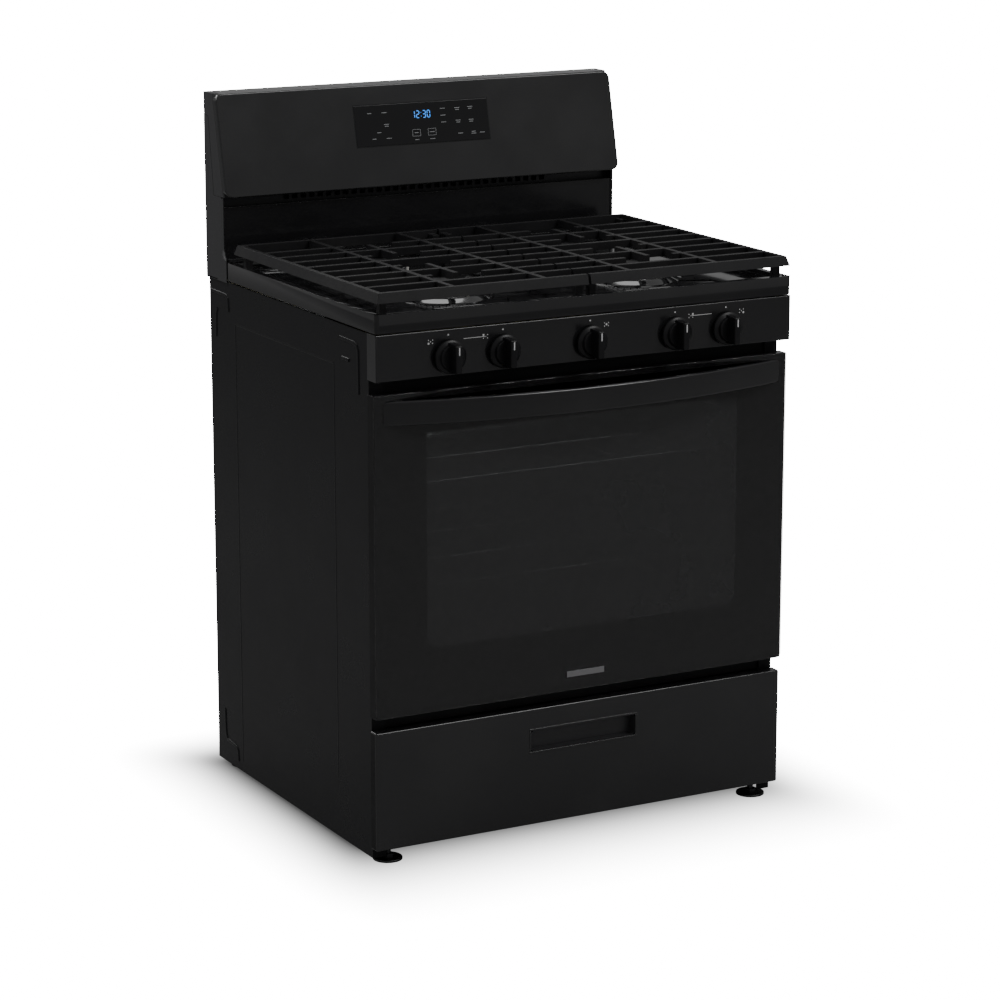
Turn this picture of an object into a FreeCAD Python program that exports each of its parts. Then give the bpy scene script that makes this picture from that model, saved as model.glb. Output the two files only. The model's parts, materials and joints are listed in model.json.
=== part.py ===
"""Freestanding gas range with an under-oven broiler drawer, as a parametric document in millimetres.

X runs to the right as seen from the front, Y to the back and Z up. The origin is on the floor, under
the middle of the bounding box. The driving sizes are in the spreadsheet and every feature reads them.
"""
import FreeCAD, Part
import math
import os
import re

import Sketcher
from FreeCAD import Placement, Rotation, Vector

DRIVING_SIZES = {
    # overall
    "width": 758.8, "depth": 691, "height": 1174.8,
    "gauge": 1.5, "fit": 0.3,
    # planes of the front, stepped from the front of the handle
    "handle_reach": 54.5, "door_depth": 23, "body_step": 25, "panel_step": 8.5, "drawer_step": 4,
    "side_inset": 3.4,
    # levels
    "side_bottom": 8, "side_top": 862, "rim_bottom": 866, "rim_top": 896, "well_top": 884,
    "panel_bottom": 790, "panel_top": 864, "door_bottom": 245, "door_top": 767,
    "drawer_bottom": 25, "drawer_top": 222,
    # cooktop and grates
    "cooktop_back": 262, "rim_width": 12, "rim_round": 3, "burner_across": 177,
    "rear_burner": 88, "front_burner": -126, "centre_burner": -20,
    "grate_side": 377, "grate_front": -300, "grate_back": 237, "grate_top": 929, "rail_height": 16,
    "rail_width": 13, "bar_width": 9, "bar_height": 13, "bar_pitch": 53.5, "first_bar": 138,
    "grate_split": 4, "rib_across": 77, "bar_break": 45, "grate_foot": 12,
    "cap_radius": 38, "head_radius": 42, "throat_radius": 19, "head_top": 899,
    # knobs and valves
    "outer_knob": 254, "inner_knob": 157.5, "knob_level": 821, "skirt_radius": 27, "skirt_depth": 7,
    "hub_radius": 20, "hub_depth": 12, "grip_length": 47, "grip_width": 14, "knob_reach": 38,
    "stem_radius": 3, "knob_gap": 4.5, "manifold_radius": 9.5, "manifold_back": 247.5,
    # door
    "hinge_above": 3.5, "hinge_inset": 4.5, "window_half": 287, "window_low": 350, "window_high": 701,
    "glass": 3, "plug_half": 296, "plug_low": 305, "plug_high": 737, "plug_depth": 18,
    "handle_half": 366, "handle_low": 718, "handle_high": 758, "handle_thick": 13,
    "hinge_across": 330, "pin_radius": 2.5, "arm_width": 6,
    # oven
    "oven_half": 304, "oven_back": 250, "oven_top": 744, "oven_floor_level": 298, "burner_box": 232,
    "frame_recess": 4, "frame_depth": 10, "opening_half": 300, "opening_low": 300, "opening_high": 742,
    "upper_rack": 606, "lower_rack": 436, "rack_half": 293, "rack_front": 235, "rack_wire": 2.5,
    "blanket": 30,
    # drawer
    "tray_half": 333, "tray_low": 42, "tray_high": 150, "tray_back": 205, "runner_level": 94.3,
    "pocket_half": 98, "pocket_low": 150, "pocket_high": 185,
    # backguard
    "console_front": 257, "console_crown": 296, "console_bottom": 1004, "cap_thick": 12,
    "splash_front": 280, "splash_half": 374, "splash_top": 986, "guard_bottom": 861,
    "cover_top": 1139, "glass_half": 128, "glass_low": 1073, "glass_high": 1141,
    # feet and services
    "foot_across": 345, "front_foot": 257, "rear_foot": 300, "foot_radius": 24, "foot_stem": 5,
    "inlet_radius": 10.5, "inlet_across": 250, "service_level": 821,
    "rear_panel_low": 38, "screw_radius": 1.9, "screw_inset": 9, "first_screw": 90, "screw_pitch": 175,
}

DOC = FreeCAD.newDocument("GasRange")
SHEET = DOC.addObject("Spreadsheet::Sheet", "sizes")
for row, (alias, size) in enumerate(DRIVING_SIZES.items(), start=1):
    SHEET.set(f"A{row}", alias)
    SHEET.set(f"B{row}", str(size))
    SHEET.setAlias(f"B{row}", alias)
DOC.recompute()

# planes worked out from the driving sizes
SIDE = "width / 2"
BACK = "depth / 2"
SKIN = "(width / 2 - side_inset)"
DOOR_FACE = "(handle_reach - depth / 2)"
DOOR_BACK = f"({DOOR_FACE} + door_depth)"
BODY_FACE = f"({DOOR_FACE} + body_step)"
PANEL_FACE = f"({DOOR_FACE} - panel_step)"
DRAWER_FACE = f"({DOOR_FACE} + drawer_step)"
FRAME_FACE = f"({BODY_FACE} + frame_recess)"
FRAME_BACK = f"({FRAME_FACE} + frame_depth)"
HINGE_Y = f"({DOOR_BACK} - hinge_inset)"
HINGE_Z = "(door_bottom + hinge_above)"
VALVE_FRONT = f"({PANEL_FACE} + 22)"
KNOBS = {"front_left": "-outer_knob", "rear_left": "-inner_knob", "centre": "0",
         "rear_right": "inner_knob", "front_right": "outer_knob"}
BURNERS = {"front_left": ("-burner_across", "front_burner"), "rear_left": ("-burner_across", "rear_burner"),
           "centre": ("0", "centre_burner"), "rear_right": ("burner_across", "rear_burner"),
           "front_right": ("burner_across", "front_burner")}
SIDES = {"left": -1, "right": 1}
SCREW_LEVELS = [f"first_screw + {step} * screw_pitch" for step in range(5)]
PLANES = {"XY": "XY_Plane", "XZ": "XZ_Plane", "YZ": "YZ_Plane"}
TURNS = {"X": Rotation(Vector(0, 1, 0), 90), "Y": Rotation(Vector(1, 0, 0), -90), "Z": Rotation()}
WORD = re.compile(r"[a-z]+(?:_[a-z]+)*")


def linked(text):
    """The expression with each size named as a cell of the spreadsheet."""
    return WORD.sub(lambda found: f"sizes.{found[0]}" if found[0] in DRIVING_SIZES else found[0], str(text))


def number(text):
    """The value of an expression, for shapes that are made directly."""
    size = SHEET.evalExpression(linked(text))
    return float(getattr(size, "Value", size))


def bind(item, setting, text):
    item.setExpression(setting, linked(text))


def place(item, corner, turn=None):
    """Put an item at a point given by expressions, after turning it."""
    if turn is not None:
        item.Placement = Placement(Vector(), turn)
    for letter, text in zip("xyz", corner):
        bind(item, f"Placement.Base.{letter}", text)
    return item


def block(name, x_span, y_span, z_span):
    """A box between two expressions on each axis."""
    item = DOC.addObject("Part::Box", name)
    for setting, (low, high) in zip(("Length", "Width", "Height"), (x_span, y_span, z_span)):
        bind(item, setting, f"({high}) - ({low})")
    return place(item, (x_span[0], y_span[0], z_span[0]))


def rod(name, axis, start, radius, length):
    """A cylinder that runs along an axis from its start point."""
    item = DOC.addObject("Part::Cylinder", name)
    bind(item, "Radius", radius)
    bind(item, "Height", length)
    return place(item, start, TURNS[axis])


def cut(name, base, *tools):
    item = DOC.addObject("Part::Cut", name)
    item.Base = base
    item.Tool = tools[0] if len(tools) == 1 else gather(f"{name}_tools", tools)
    return item


def gather(name, pieces):
    """Pieces joined to one solid."""
    item = DOC.addObject("Part::MultiFuse", name)
    item.Shapes = list(pieces)
    item.Refine = True
    return item


def group(name, pieces):
    """Separate solids kept in one node."""
    item = DOC.addObject("Part::Compound", name)
    item.Links = list(pieces)
    return item


def eased(name, base, radius, chosen):
    """Round the edges of a piece that the test picks."""
    DOC.recompute()
    item = DOC.addObject("Part::Fillet", name)
    item.Base = base
    size = number(radius)
    item.Edges = [(index, size, size) for index, edge in enumerate(base.Shape.Edges, 1) if chosen(edge)]
    return item


def along(edge, axis):
    """True where a straight edge runs along the axis."""
    spread = edge.BoundBox
    lengths = {"X": spread.XLength, "Y": spread.YLength, "Z": spread.ZLength}
    return lengths[axis] > 1 and sum(lengths.values()) - lengths[axis] < 0.01


def tie(sketch, kind, items, text):
    """Add one dimension to a sketch, bound to an expression."""
    rule = sketch.addConstraint(Sketcher.Constraint(kind, *items, number(text)))
    bind(sketch, f"Constraints[{rule}]", text)


def draw_circle(sketch, across, up, radius):
    centre = Vector(number(across), number(up), 0)
    index = sketch.addGeometry(Part.Circle(centre, Vector(0, 0, 1), number(radius)), False)
    tie(sketch, "DistanceX", (-1, 1, index, 3), across)
    tie(sketch, "DistanceY", (-1, 1, index, 3), up)
    tie(sketch, "Radius", (index,), radius)


def draw_loop(sketch, corners):
    """Join corners by lines, or by an arc where a corner names how far the next side bulges out."""
    points = [Vector(number(corner[0]), number(corner[1]), 0) for corner in corners]
    first = sketch.GeometryCount
    count = len(corners)
    for index, corner in enumerate(corners):
        start, end = points[index], points[(index + 1) % count]
        if len(corner) == 2:
            sketch.addGeometry(Part.LineSegment(start, end), False)
            continue
        outward = Vector(end.y - start.y, start.x - end.x, 0).normalize() * number(corner[2])
        sketch.addGeometry(Part.Arc(start, (start + end) * 0.5 + outward, end), False)

    def end_at(item, point):
        return 1 if sketch.getPoint(item, 1).distanceToPoint(point) < 0.001 else 2

    for index, (corner, point) in enumerate(zip(corners, points)):
        here, before = first + index, first + (index - 1) % count
        finish = end_at(here, point)
        sketch.addConstraint(Sketcher.Constraint("Coincident", before, end_at(before, point), here, finish))
        tie(sketch, "DistanceX", (-1, 1, here, finish), corner[0])
        tie(sketch, "DistanceY", (-1, 1, here, finish), corner[1])
    for index, corner in enumerate(corners):
        if len(corner) == 3:
            after = corners[(index + 1) % count]
            chord = f"((({after[0]}) - ({corner[0]}))^2 + (({after[1]}) - ({corner[1]}))^2)"
            bulge = f"abs({corner[2]})"
            tie(sketch, "Radius", (first + index,), f"{chord} / (8 * {bulge}) + {bulge} / 2")


def outline(body, plane, start, loops):
    """A sketch on one of the body's own planes, moved along the plane's normal."""
    sketch = body.newObject("Sketcher::SketchObject", f"{body.Name}_sketch")
    own_plane = next(item for item in body.Origin.OriginFeatures if item.Role == PLANES[plane])
    sketch.AttachmentSupport = (own_plane, [""])
    sketch.MapMode = "FlatFace"
    bind(sketch, "AttachmentOffset.Base.z", start)
    for loop in loops:
        if loop[0] == "circle":
            draw_circle(sketch, *loop[1:])
        else:
            draw_loop(sketch, loop)
    return sketch


def plate(name, plane, low, high, *loops):
    """A body padded from one outline, between two places along the plane's axis."""
    body = DOC.addObject("PartDesign::Body", name)
    start = f"-({high})" if plane == "XZ" else low
    sketch = outline(body, plane, start, loops)
    pad = body.newObject("PartDesign::Pad", f"{body.Name}_pad")
    pad.Profile = sketch
    bind(pad, "Length", f"({high}) - ({low})")
    return body


def rectangle(x_low, x_high, y_low, y_high):
    return [(x_low, y_low), (x_high, y_low), (x_high, y_high), (x_low, y_high)]


def circle(across, up, radius):
    return ("circle", across, up, radius)


def pipe(name, points, radius, bend, wall=None):
    """A round tube along straight runs joined by tangent arcs."""
    stops = [Vector(*(number(text) for text in point)) for point in points]
    size, turn = number(radius), number(bend)
    edges = []
    start = stops[0]
    for before, corner, after in zip(stops, stops[1:], stops[2:]):
        inward = (before - corner).normalize()
        outward = (after - corner).normalize()
        enter, leave = corner + inward * turn, corner + outward * turn
        middle = corner + (inward + outward).normalize() * (turn * (math.sqrt(2) - 1))
        edges += [Part.LineSegment(start, enter).toShape(), Part.Arc(enter, middle, leave).toShape()]
        start = leave
    edges.append(Part.LineSegment(start, stops[-1]).toShape())
    path = Part.Wire(edges)

    def swept(section_radius):
        ring = Part.Wire(Part.Circle(stops[0], stops[1] - stops[0], section_radius).toShape())
        return path.makePipeShell([ring], True, False)

    shape = swept(size)
    if wall is not None:
        shape = shape.cut(swept(size - number(wall)))
    item = DOC.addObject("Part::Feature", name)
    item.Shape = shape
    item.Placement = Placement()
    return item


NODES = []


def node(label, item):
    """Name a finished piece, which is written to its own file."""
    item.Label = label
    NODES.append(item)
    return item


def mirrored(x_low, x_high, side):
    """The span on the right side, or its mirror image on the left."""
    return (x_low, x_high) if side > 0 else (f"-({x_high})", f"-({x_low})")


# ---------------------------------------------------------------- body of the range

def side_panel(name, side):
    """A painted sheet with a folded flange at the front and at the back."""
    outer = mirrored(f"{SKIN} - gauge", SKIN, side)
    front_flange = mirrored(f"{SKIN} - 24", f"{SKIN} - gauge", side)
    rear_flange = mirrored(f"{SKIN} - 16", f"{SKIN} - gauge", side)
    levels = ("side_bottom", "side_top")
    sheet = block(f"{name}_sheet", outer, (BODY_FACE, f"{BACK} - 3.2"), levels)
    front = block(f"{name}_front", front_flange, (BODY_FACE, f"{BODY_FACE} + gauge"), levels)
    rear = block(f"{name}_rear", rear_flange, (f"{BACK} - 3.2 - gauge", f"{BACK} - 3.2"), levels)
    holes = [rod("flange_hole", "Y", (f"{side} * ({SKIN} - screw_inset)", f"{BACK} - 8", level),
                 "screw_radius + fit", "6") for level in SCREW_LEVELS]
    node(name, cut(name, gather(f"{name}_folded", [sheet, front, rear]), *holes))


def rear_panel():
    inside = f"({SKIN} - 2)"
    holes = [circle("inlet_across", "service_level", "inlet_radius + 2"),
             circle("-inlet_across", "drawer_top", "inlet_radius")]
    for side in SIDES.values():
        holes += [circle(f"{side} * ({SKIN} - screw_inset)", level, "screw_radius + fit")
                  for level in SCREW_LEVELS]
    node("rear_panel", plate("rear_panel", "XZ", f"{BACK} - 3.2", f"{BACK} - 1.7",
                             rectangle(f"-{inside}", inside, "rear_panel_low", "side_top - 3"), *holes))


def base_frame():
    """Two side rails and two cross rails with a threaded boss over each levelling foot."""
    levels = ("drawer_bottom - 3", "drawer_bottom + 9")
    rails = [block("side_rail", mirrored("foot_across - 12", f"{SKIN} - 2", side),
                   (f"{BODY_FACE} + 2", f"{BACK} - 10"), levels) for side in SIDES.values()]
    rear_rail = ("rear_foot - 10", "rear_foot + 10")
    rails += [block("cross_rail", (f"-({SKIN} - 2)", f"{SKIN} - 2"), span, levels)
              for span in ((f"{BODY_FACE} + 2", f"{BODY_FACE} + 20"), rear_rail)]
    holes = []
    for side in SIDES.values():
        for depth in ("-front_foot", "rear_foot"):
            at = (f"{side} * foot_across", depth, "drawer_bottom - 8")
            rails.append(rod("foot_boss", "Z", at, "foot_stem + 3", "17"))
            holes.append(rod("foot_hole", "Z", at, "foot_stem + fit", "22"))
    node("base_frame", cut("base_frame", gather("rails", rails), *holes))


def front_frame():
    """The welded frame round the oven mouth and the drawer mouth, slotted for the hinge arms."""
    inside = f"({SKIN} - 2)"
    mouths = [rectangle("-opening_half", "opening_half", "opening_low", "opening_high"),
              rectangle("-tray_half - 18", "tray_half + 18", "drawer_bottom + 14", "drawer_top")]
    for side in SIDES.values():
        low, high = mirrored("hinge_across - 5", "hinge_across + 5", side)
        mouths.append(rectangle(low, high, "door_bottom - 4", "door_bottom + 30"))
    node("front_frame", plate("front_frame", "XZ", FRAME_FACE, FRAME_BACK,
                              rectangle(f"-{inside}", inside, "drawer_bottom + 10", "panel_bottom - 2"),
                              *mouths))


def oven_liner():
    """The enamelled oven box: open at the front, and at the bottom below a ledge for the floor."""
    walls = ("-oven_half - gauge", "oven_half + gauge")
    outer = block("liner_outer", walls, (f"{FRAME_BACK} + fit", "oven_back + gauge"),
                  ("burner_box", "oven_top + gauge"))
    inner = block("liner_inner", ("-oven_half", "oven_half"), (FRAME_FACE, "oven_back"),
                  ("burner_box - 1", "oven_top"))
    flue = block("flue_mouth", ("-60", "60"), ("oven_back - 5", "oven_back + 5"),
                 ("oven_top - 40", "oven_top - 15"))
    ledges = [block("ledge", mirrored("oven_half - 14", "oven_half + 1", side),
                    (f"{FRAME_BACK} + fit", "oven_back"),
                    ("oven_floor_level - 4", "oven_floor_level - 2")) for side in SIDES.values()]
    node("oven_liner", gather("oven_liner", [cut("liner_shell", outer, inner, flue), *ledges]))


def oven_floor():
    """The lift-out floor with heat slots down both sides."""
    slots = []
    for side in SIDES.values():
        for step in range(8):
            near = f"-190 + {step} * 52"
            slots.append(rectangle(*mirrored("oven_half - 44", "oven_half - 34", side), near, f"{near} + 36"))
    edge = "oven_half - 3"
    node("oven_floor", plate("oven_floor", "XY", "oven_floor_level - 1.7", "oven_floor_level",
                             rectangle(f"-({edge})", edge, f"{FRAME_BACK} + 4", "oven_back - 4"), *slots))


def bake_burner():
    """A straight steel burner tube under the oven floor, with a flame spreader above it."""
    level = "burner_box + 32"
    tube = rod("burner_tube", "Y", ("0", "-200", level), "16", "430")
    bore = rod("burner_bore", "Y", ("0", "-198", level), "14.5", "430")
    ports = [rod("port", "X", ("-20", f"-180 + {step} * 20", level), "1.4", "40") for step in range(18)]
    spreader = block("spreader", ("-110", "110"), ("-205", "225"), (f"{level} + 18", f"{level} + 19.5"))
    hangers = [block("hanger", ("-8", "8"), (f"{near}", f"{near} + 2"), (f"{level} + 15", f"{level} + 18.5"))
               for near in (-190, 205)]
    node("bake_burner", gather("bake_burner", [cut("ported_tube", tube, bore, *ports), spreader, *hangers]))


def oven_insulation():
    """The glass-fibre blanket over the top, sides and back of the oven."""
    inner = "(oven_half + gauge + fit)"
    outer = block("blanket_outer", (f"-({inner} + blanket)", f"{inner} + blanket"),
                  (f"{FRAME_BACK} + 2", "oven_back + gauge + blanket"), ("oven_floor_level", "oven_top + 28"))
    hollow = block("blanket_hollow", (f"-{inner}", inner), (FRAME_FACE, "oven_back + gauge + fit"),
                   ("oven_floor_level - 1", "oven_top + gauge + fit"))
    flue = block("blanket_flue", ("-93", "93"), ("oven_back - 5", "oven_back + gauge + blanket + 1"),
                 ("oven_top - 102", "oven_top + 60"))
    node("oven_insulation", cut("oven_insulation", outer, hollow, flue))


def oven_flue():
    """The sheet duct that carries oven gases up to the vent behind the splash panel."""
    front, rear = "oven_back + 34", "oven_back + 47"
    levels = ("oven_top - 100", "splash_top - 3")
    outer = block("flue_outer", ("-90", "90"), (front, rear), levels)
    inner = block("flue_inner", ("-88.5", "88.5"), (f"{front} + gauge", f"{rear} - gauge"),
                  ("oven_top - 98", "splash_top"))
    neck_outer = block("neck_outer", ("-58", "58"), ("oven_back + 2", f"{front} + gauge"),
                       ("oven_top - 38", "oven_top - 17"))
    neck_inner = block("neck_inner", ("-56.5", "56.5"), ("oven_back", f"{front} + 5"),
                       ("oven_top - 36.5", "oven_top - 18.5"))
    node("oven_flue", cut("oven_flue", gather("flue_walls", [outer, neck_outer]), inner, neck_inner))


def rack_guides():
    """Wire ladders on both side walls: two uprights and five ledges each."""
    ladders = []
    for side in SIDES.values():
        inner, outer = mirrored("oven_half - 7", "oven_half - 4", side)
        across = inner if side > 0 else outer
        wires = [rod("upright", "Z", (f"{across} + 1.5 * {side}", near, "oven_floor_level + 20"), "2", "360")
                 for near in ("-180", "180")]
        for level in ("lower_rack - 85", "lower_rack", "lower_rack + 85", "upper_rack", "upper_rack + 70"):
            wires.append(rod("ledge_wire", "Y",
                             (f"{across} - 2 * {side}", "-225", f"{level} - 2 * rack_wire - fit"),
                             "rack_wire", "455"))
        ladders.append(gather("ladder", wires))
    node("rack_guides", group("rack_guides", ladders))


def services():
    """The grommet for the supply lead and the screws of the rear panel."""
    sleeve = rod("sleeve", "Y", ("-inlet_across", f"{BACK} - 9", "drawer_top"), "inlet_radius - fit", "9")
    flange = rod("flange", "Y", ("-inlet_across", f"{BACK} - 1.7", "drawer_top"), "inlet_radius + 4", "1.6")
    bore = rod("bore", "Y", ("-inlet_across", f"{BACK} - 10", "drawer_top"), "inlet_radius - 4", "12")
    node("lead_grommet", cut("lead_grommet", gather("grommet_body", [sleeve, flange]), bore))
    screws = []
    for side in SIDES.values():
        for level in SCREW_LEVELS:
            across = f"{side} * ({SKIN} - screw_inset)"
            head = rod("head", "Y", (across, f"{BACK} - 1.7", level), "4", "1.7")
            shank = rod("shank", "Y", (across, f"{BACK} - 7", level), "screw_radius", "6")
            screws.append(gather("screw", [head, shank]))
    node("panel_screws", group("panel_screws", screws))


# ---------------------------------------------------------------- cooktop

def cooktop():
    """A pressed pan: a raised rim, a sunken well, a skirt all round and a hole for each burner."""
    front, rear = PANEL_FACE, "cooktop_back"
    outer = block("pan_outer", (f"-({SIDE})", SIDE), (front, rear), ("rim_bottom", "rim_top"))
    rounded = eased("pan_rounded", outer, "rim_round",
                    lambda edge: along(edge, "Z") or (edge.BoundBox.ZMin > number("rim_top") - 0.1))
    skirt = block("skirt_inside", (f"gauge - {SIDE}", f"{SIDE} - gauge"),
                  (f"{front} + gauge", f"{rear} - gauge"), ("rim_bottom - 1", "rim_top - gauge"))
    core = block("well_core", (f"rim_width - gauge - {SIDE}", f"{SIDE} - rim_width + gauge"),
                 (f"{front} + rim_width - gauge", f"{rear} - rim_width + gauge"),
                 ("well_top - gauge", "rim_top"))
    well = block("well", (f"rim_width - {SIDE}", f"{SIDE} - rim_width"),
                 (f"{front} + rim_width", f"{rear} - rim_width"), ("well_top", "rim_top + 1"))
    holes = [rod("burner_hole", "Z", (across, depth, "well_top - 5"), "throat_radius + 1", "10")
             for across, depth in BURNERS.values()]
    node("cooktop", cut("cooktop", rounded, cut("underside", skirt, core), well, *holes))


def burner_head(across, depth):
    """A cast head: a slotted crown on a flange, above the throat that hangs through the cooktop."""
    crown = rod("crown", "Z", (across, depth, "well_top + fit"), "head_radius", "head_top - well_top - fit")
    throat = rod("throat", "Z", (across, depth, "rim_bottom - 4"), "throat_radius", "head_top - rim_bottom")
    bore = rod("head_bore", "Z", (across, depth, "rim_bottom - 5"), "throat_radius - 5", "60")
    ports = []
    for step in range(12):
        port = DOC.addObject("Part::Box", "port")
        port.Length, port.Width, port.Height = 2 * number("head_radius + 2"), 2, 6
        turn = Rotation(Vector(0, 0, 1), 15 * step)
        port.Placement.Rotation = turn
        reach = turn.multVec(Vector(port.Length.Value / 2, 1, 0))
        bind(port, "Placement.Base.x", f"{across} - {reach.x}")
        bind(port, "Placement.Base.y", f"{depth} - {reach.y}")
        bind(port, "Placement.Base.z", "head_top - 6")
        ports.append(port)
    return cut("head", gather("head_body", [crown, throat]), bore, *ports)


def burners():
    heads = [burner_head(across, depth) for across, depth in BURNERS.values()]
    node("burner_heads", group("burner_heads", heads))
    caps = []
    for across, depth in BURNERS.values():
        disc = rod("disc", "Z", (across, depth, "head_top + fit"), "cap_radius", "7")
        caps.append(eased("cap", disc, "2.5", lambda edge: edge.BoundBox.ZMin > number("head_top") + 4))
    node("burner_caps", group("burner_caps", caps))
    electrodes = []
    for across, depth in BURNERS.values():
        at = (f"{across} + head_radius + 6", depth, "well_top + fit")
        electrodes.append(gather("electrode", [rod("ceramic", "Z", at, "3.5", "11"),
                                               rod("tip", "Z", at, "1.2", "15")]))
    node("spark_electrodes", group("spark_electrodes", electrodes))


def grate(name, side):
    """Half of the cast grate: a frame on three sides, bars across and a rib along, on four feet."""
    rail_levels = ("grate_top - rail_height", "grate_top")
    bar_levels = ("grate_top - bar_height", "grate_top")
    whole = mirrored("grate_split / 2", "grate_side", side)
    pieces = [block("outer_rail", mirrored("grate_side - rail_width", "grate_side", side),
                    ("grate_front", "grate_back"), rail_levels),
              block("front_rail", whole, ("grate_front", "grate_front + rail_width"), rail_levels),
              block("rear_rail", whole, ("grate_back - rail_width", "grate_back"), rail_levels)]
    for step in range(8):
        middle = f"(first_bar - {step} * bar_pitch)"
        depth = (f"{middle} - bar_width / 2", f"{middle} + bar_width / 2")
        if step % 2:
            pieces.append(block("bar", whole, depth, bar_levels))
            continue
        spans = (("grate_split / 2", "burner_across - bar_break"), ("burner_across + bar_break", "grate_side"))
        pieces += [block("short_bar", mirrored(*span, side), depth, bar_levels) for span in spans]
    for middle in ("rib_across", "burner_across + bar_break + 18"):
        across = mirrored(f"{middle} - bar_width / 2", f"{middle} + bar_width / 2", side)
        pieces.append(block("rib", across, ("grate_front", "grate_back"), bar_levels))
    over_burner = mirrored("burner_across - bar_width / 2", "burner_across + bar_width / 2", side)
    for step in (1, 5):
        middle = f"(first_bar - {step} * bar_pitch)"
        pieces.append(block("finger", over_burner, (f"{middle} - 50", f"{middle} + 50"), bar_levels))
    corners = [("grate_side - grate_foot - 11", "grate_side - 11"), ("6", "6 + grate_foot")]
    for across in corners:
        for depth in (("grate_front + 14", "grate_front + 14 + grate_foot"),
                      ("grate_back - 14 - grate_foot", "grate_back - 14")):
            pieces.append(block("foot", mirrored(*across, side), depth,
                                ("well_top + fit", "grate_top - bar_height / 2")))
            pieces.append(block("pad", mirrored(*across, side),
                                (f"{depth[0]} - 4", f"{depth[1]} + 4"),
                                ("grate_top - rail_height", "grate_top - bar_height / 2")))
    node(name, gather(name, pieces))


# ---------------------------------------------------------------- gas parts and knobs

def control_panel():
    """The knob panel: a shallow tray, open at the back, with a hole for each valve stem."""
    outer = block("fascia_outer", (f"-({SIDE})", SIDE), (PANEL_FACE, DOOR_BACK),
                  ("panel_bottom", "panel_top"))
    rounded = eased("fascia_rounded", outer, "2", lambda edge: edge.BoundBox.YMax < number(PANEL_FACE) + 0.1)
    inner = block("fascia_inner", (f"gauge - {SIDE}", f"{SIDE} - gauge"), (f"{PANEL_FACE} + gauge", "0"),
                  ("panel_bottom + gauge", "panel_top - gauge"))
    holes = [rod("stem_hole", "Y", (across, f"{PANEL_FACE} - 2", "knob_level"), "stem_radius + 3", "6")
             for across in KNOBS.values()]
    node("control_panel", cut("control_panel", rounded, inner, *holes))


def gas_train():
    """The manifold, the five valves on it, the burner tubes, the supply pipe and the regulator."""
    axis_depth = "-manifold_back + manifold_radius"
    ends = ("-outer_knob - 30", "outer_knob + 60")
    tube = rod("manifold_tube", "X", (ends[0], axis_depth, "knob_level"), "manifold_radius",
               f"{ends[1]} - ({ends[0]})")
    bore = rod("manifold_bore", "X", (f"{ends[0]} + 3", axis_depth, "knob_level"), "manifold_radius - 2",
               f"{ends[1]} - ({ends[0]})")
    node("gas_manifold", cut("gas_manifold", tube, bore))
    valves = []
    for across in KNOBS.values():
        body = block("valve_body", (f"{across} - 11", f"{across} + 11"),
                     (VALVE_FRONT, "-manifold_back - 0.1"), ("knob_level - 13", "knob_level + 13"))
        outlet = rod("valve_outlet", "Z", (across, f"{VALVE_FRONT} + 14", "knob_level + 12"), "5", "7")
        bore = rod("valve_bore", "Y", (across, f"{VALVE_FRONT} - 1", "knob_level"), "stem_radius + 0.1", "13")
        valves.append(cut("valve", gather("valve_casting", [body, outlet]), bore))
    node("burner_valves", group("burner_valves", valves))
    tubes = []
    lanes = {"front_left": "-burner_across", "rear_left": "-burner_across + 62", "centre": "0",
             "rear_right": "burner_across - 62", "front_right": "burner_across"}
    for name, knob in KNOBS.items():
        across, depth = BURNERS[name]
        start, level = f"{VALVE_FRONT} + 14", "knob_level + 28"
        points = [(knob, start, "knob_level + 19.2"), (knob, start, level)]
        if name != "centre":
            points += [(knob, "-225", level), (lanes[name], "-225", level)]
        points.append((lanes[name], depth, level))
        if name.startswith("rear"):
            points.append((across, depth, level))
        points.append((across, depth, "rim_bottom - 4.2"))
        tubes.append(pipe("tube", points, "3.2", "6"))
    node("burner_tubes", group("burner_tubes", tubes))
    lane = f"{SKIN} - 20"
    supply = [(f"{ends[1]} + 0.2", axis_depth, "service_level"),
              (lane, axis_depth, "service_level"),
              (lane, "rear_foot + 2", "service_level"),
              ("inlet_across + 26", "rear_foot + 2", "service_level")]
    node("gas_supply_pipe", pipe("gas_supply_pipe", supply, "6.5", "14", "1.2"))
    casting = block("regulator_block", ("inlet_across - 22", "inlet_across + 25"),
                    ("rear_foot - 20", "rear_foot + 26"), ("service_level - 16", "service_level + 16"))
    dome = rod("regulator_dome", "Z", ("inlet_across", "rear_foot + 2", "service_level + 15"), "20", "12")
    inlet = rod("inlet", "Y", ("inlet_across", "rear_foot + 20", "service_level"), "inlet_radius",
                f"{BACK} - rear_foot - 20")
    thread = rod("inlet_bore", "Y", ("inlet_across", "rear_foot + 10", "service_level"), "inlet_radius - 3",
                 "60")
    node("pressure_regulator", cut("pressure_regulator", gather("regulator", [casting, dome, inlet]), thread))


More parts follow.
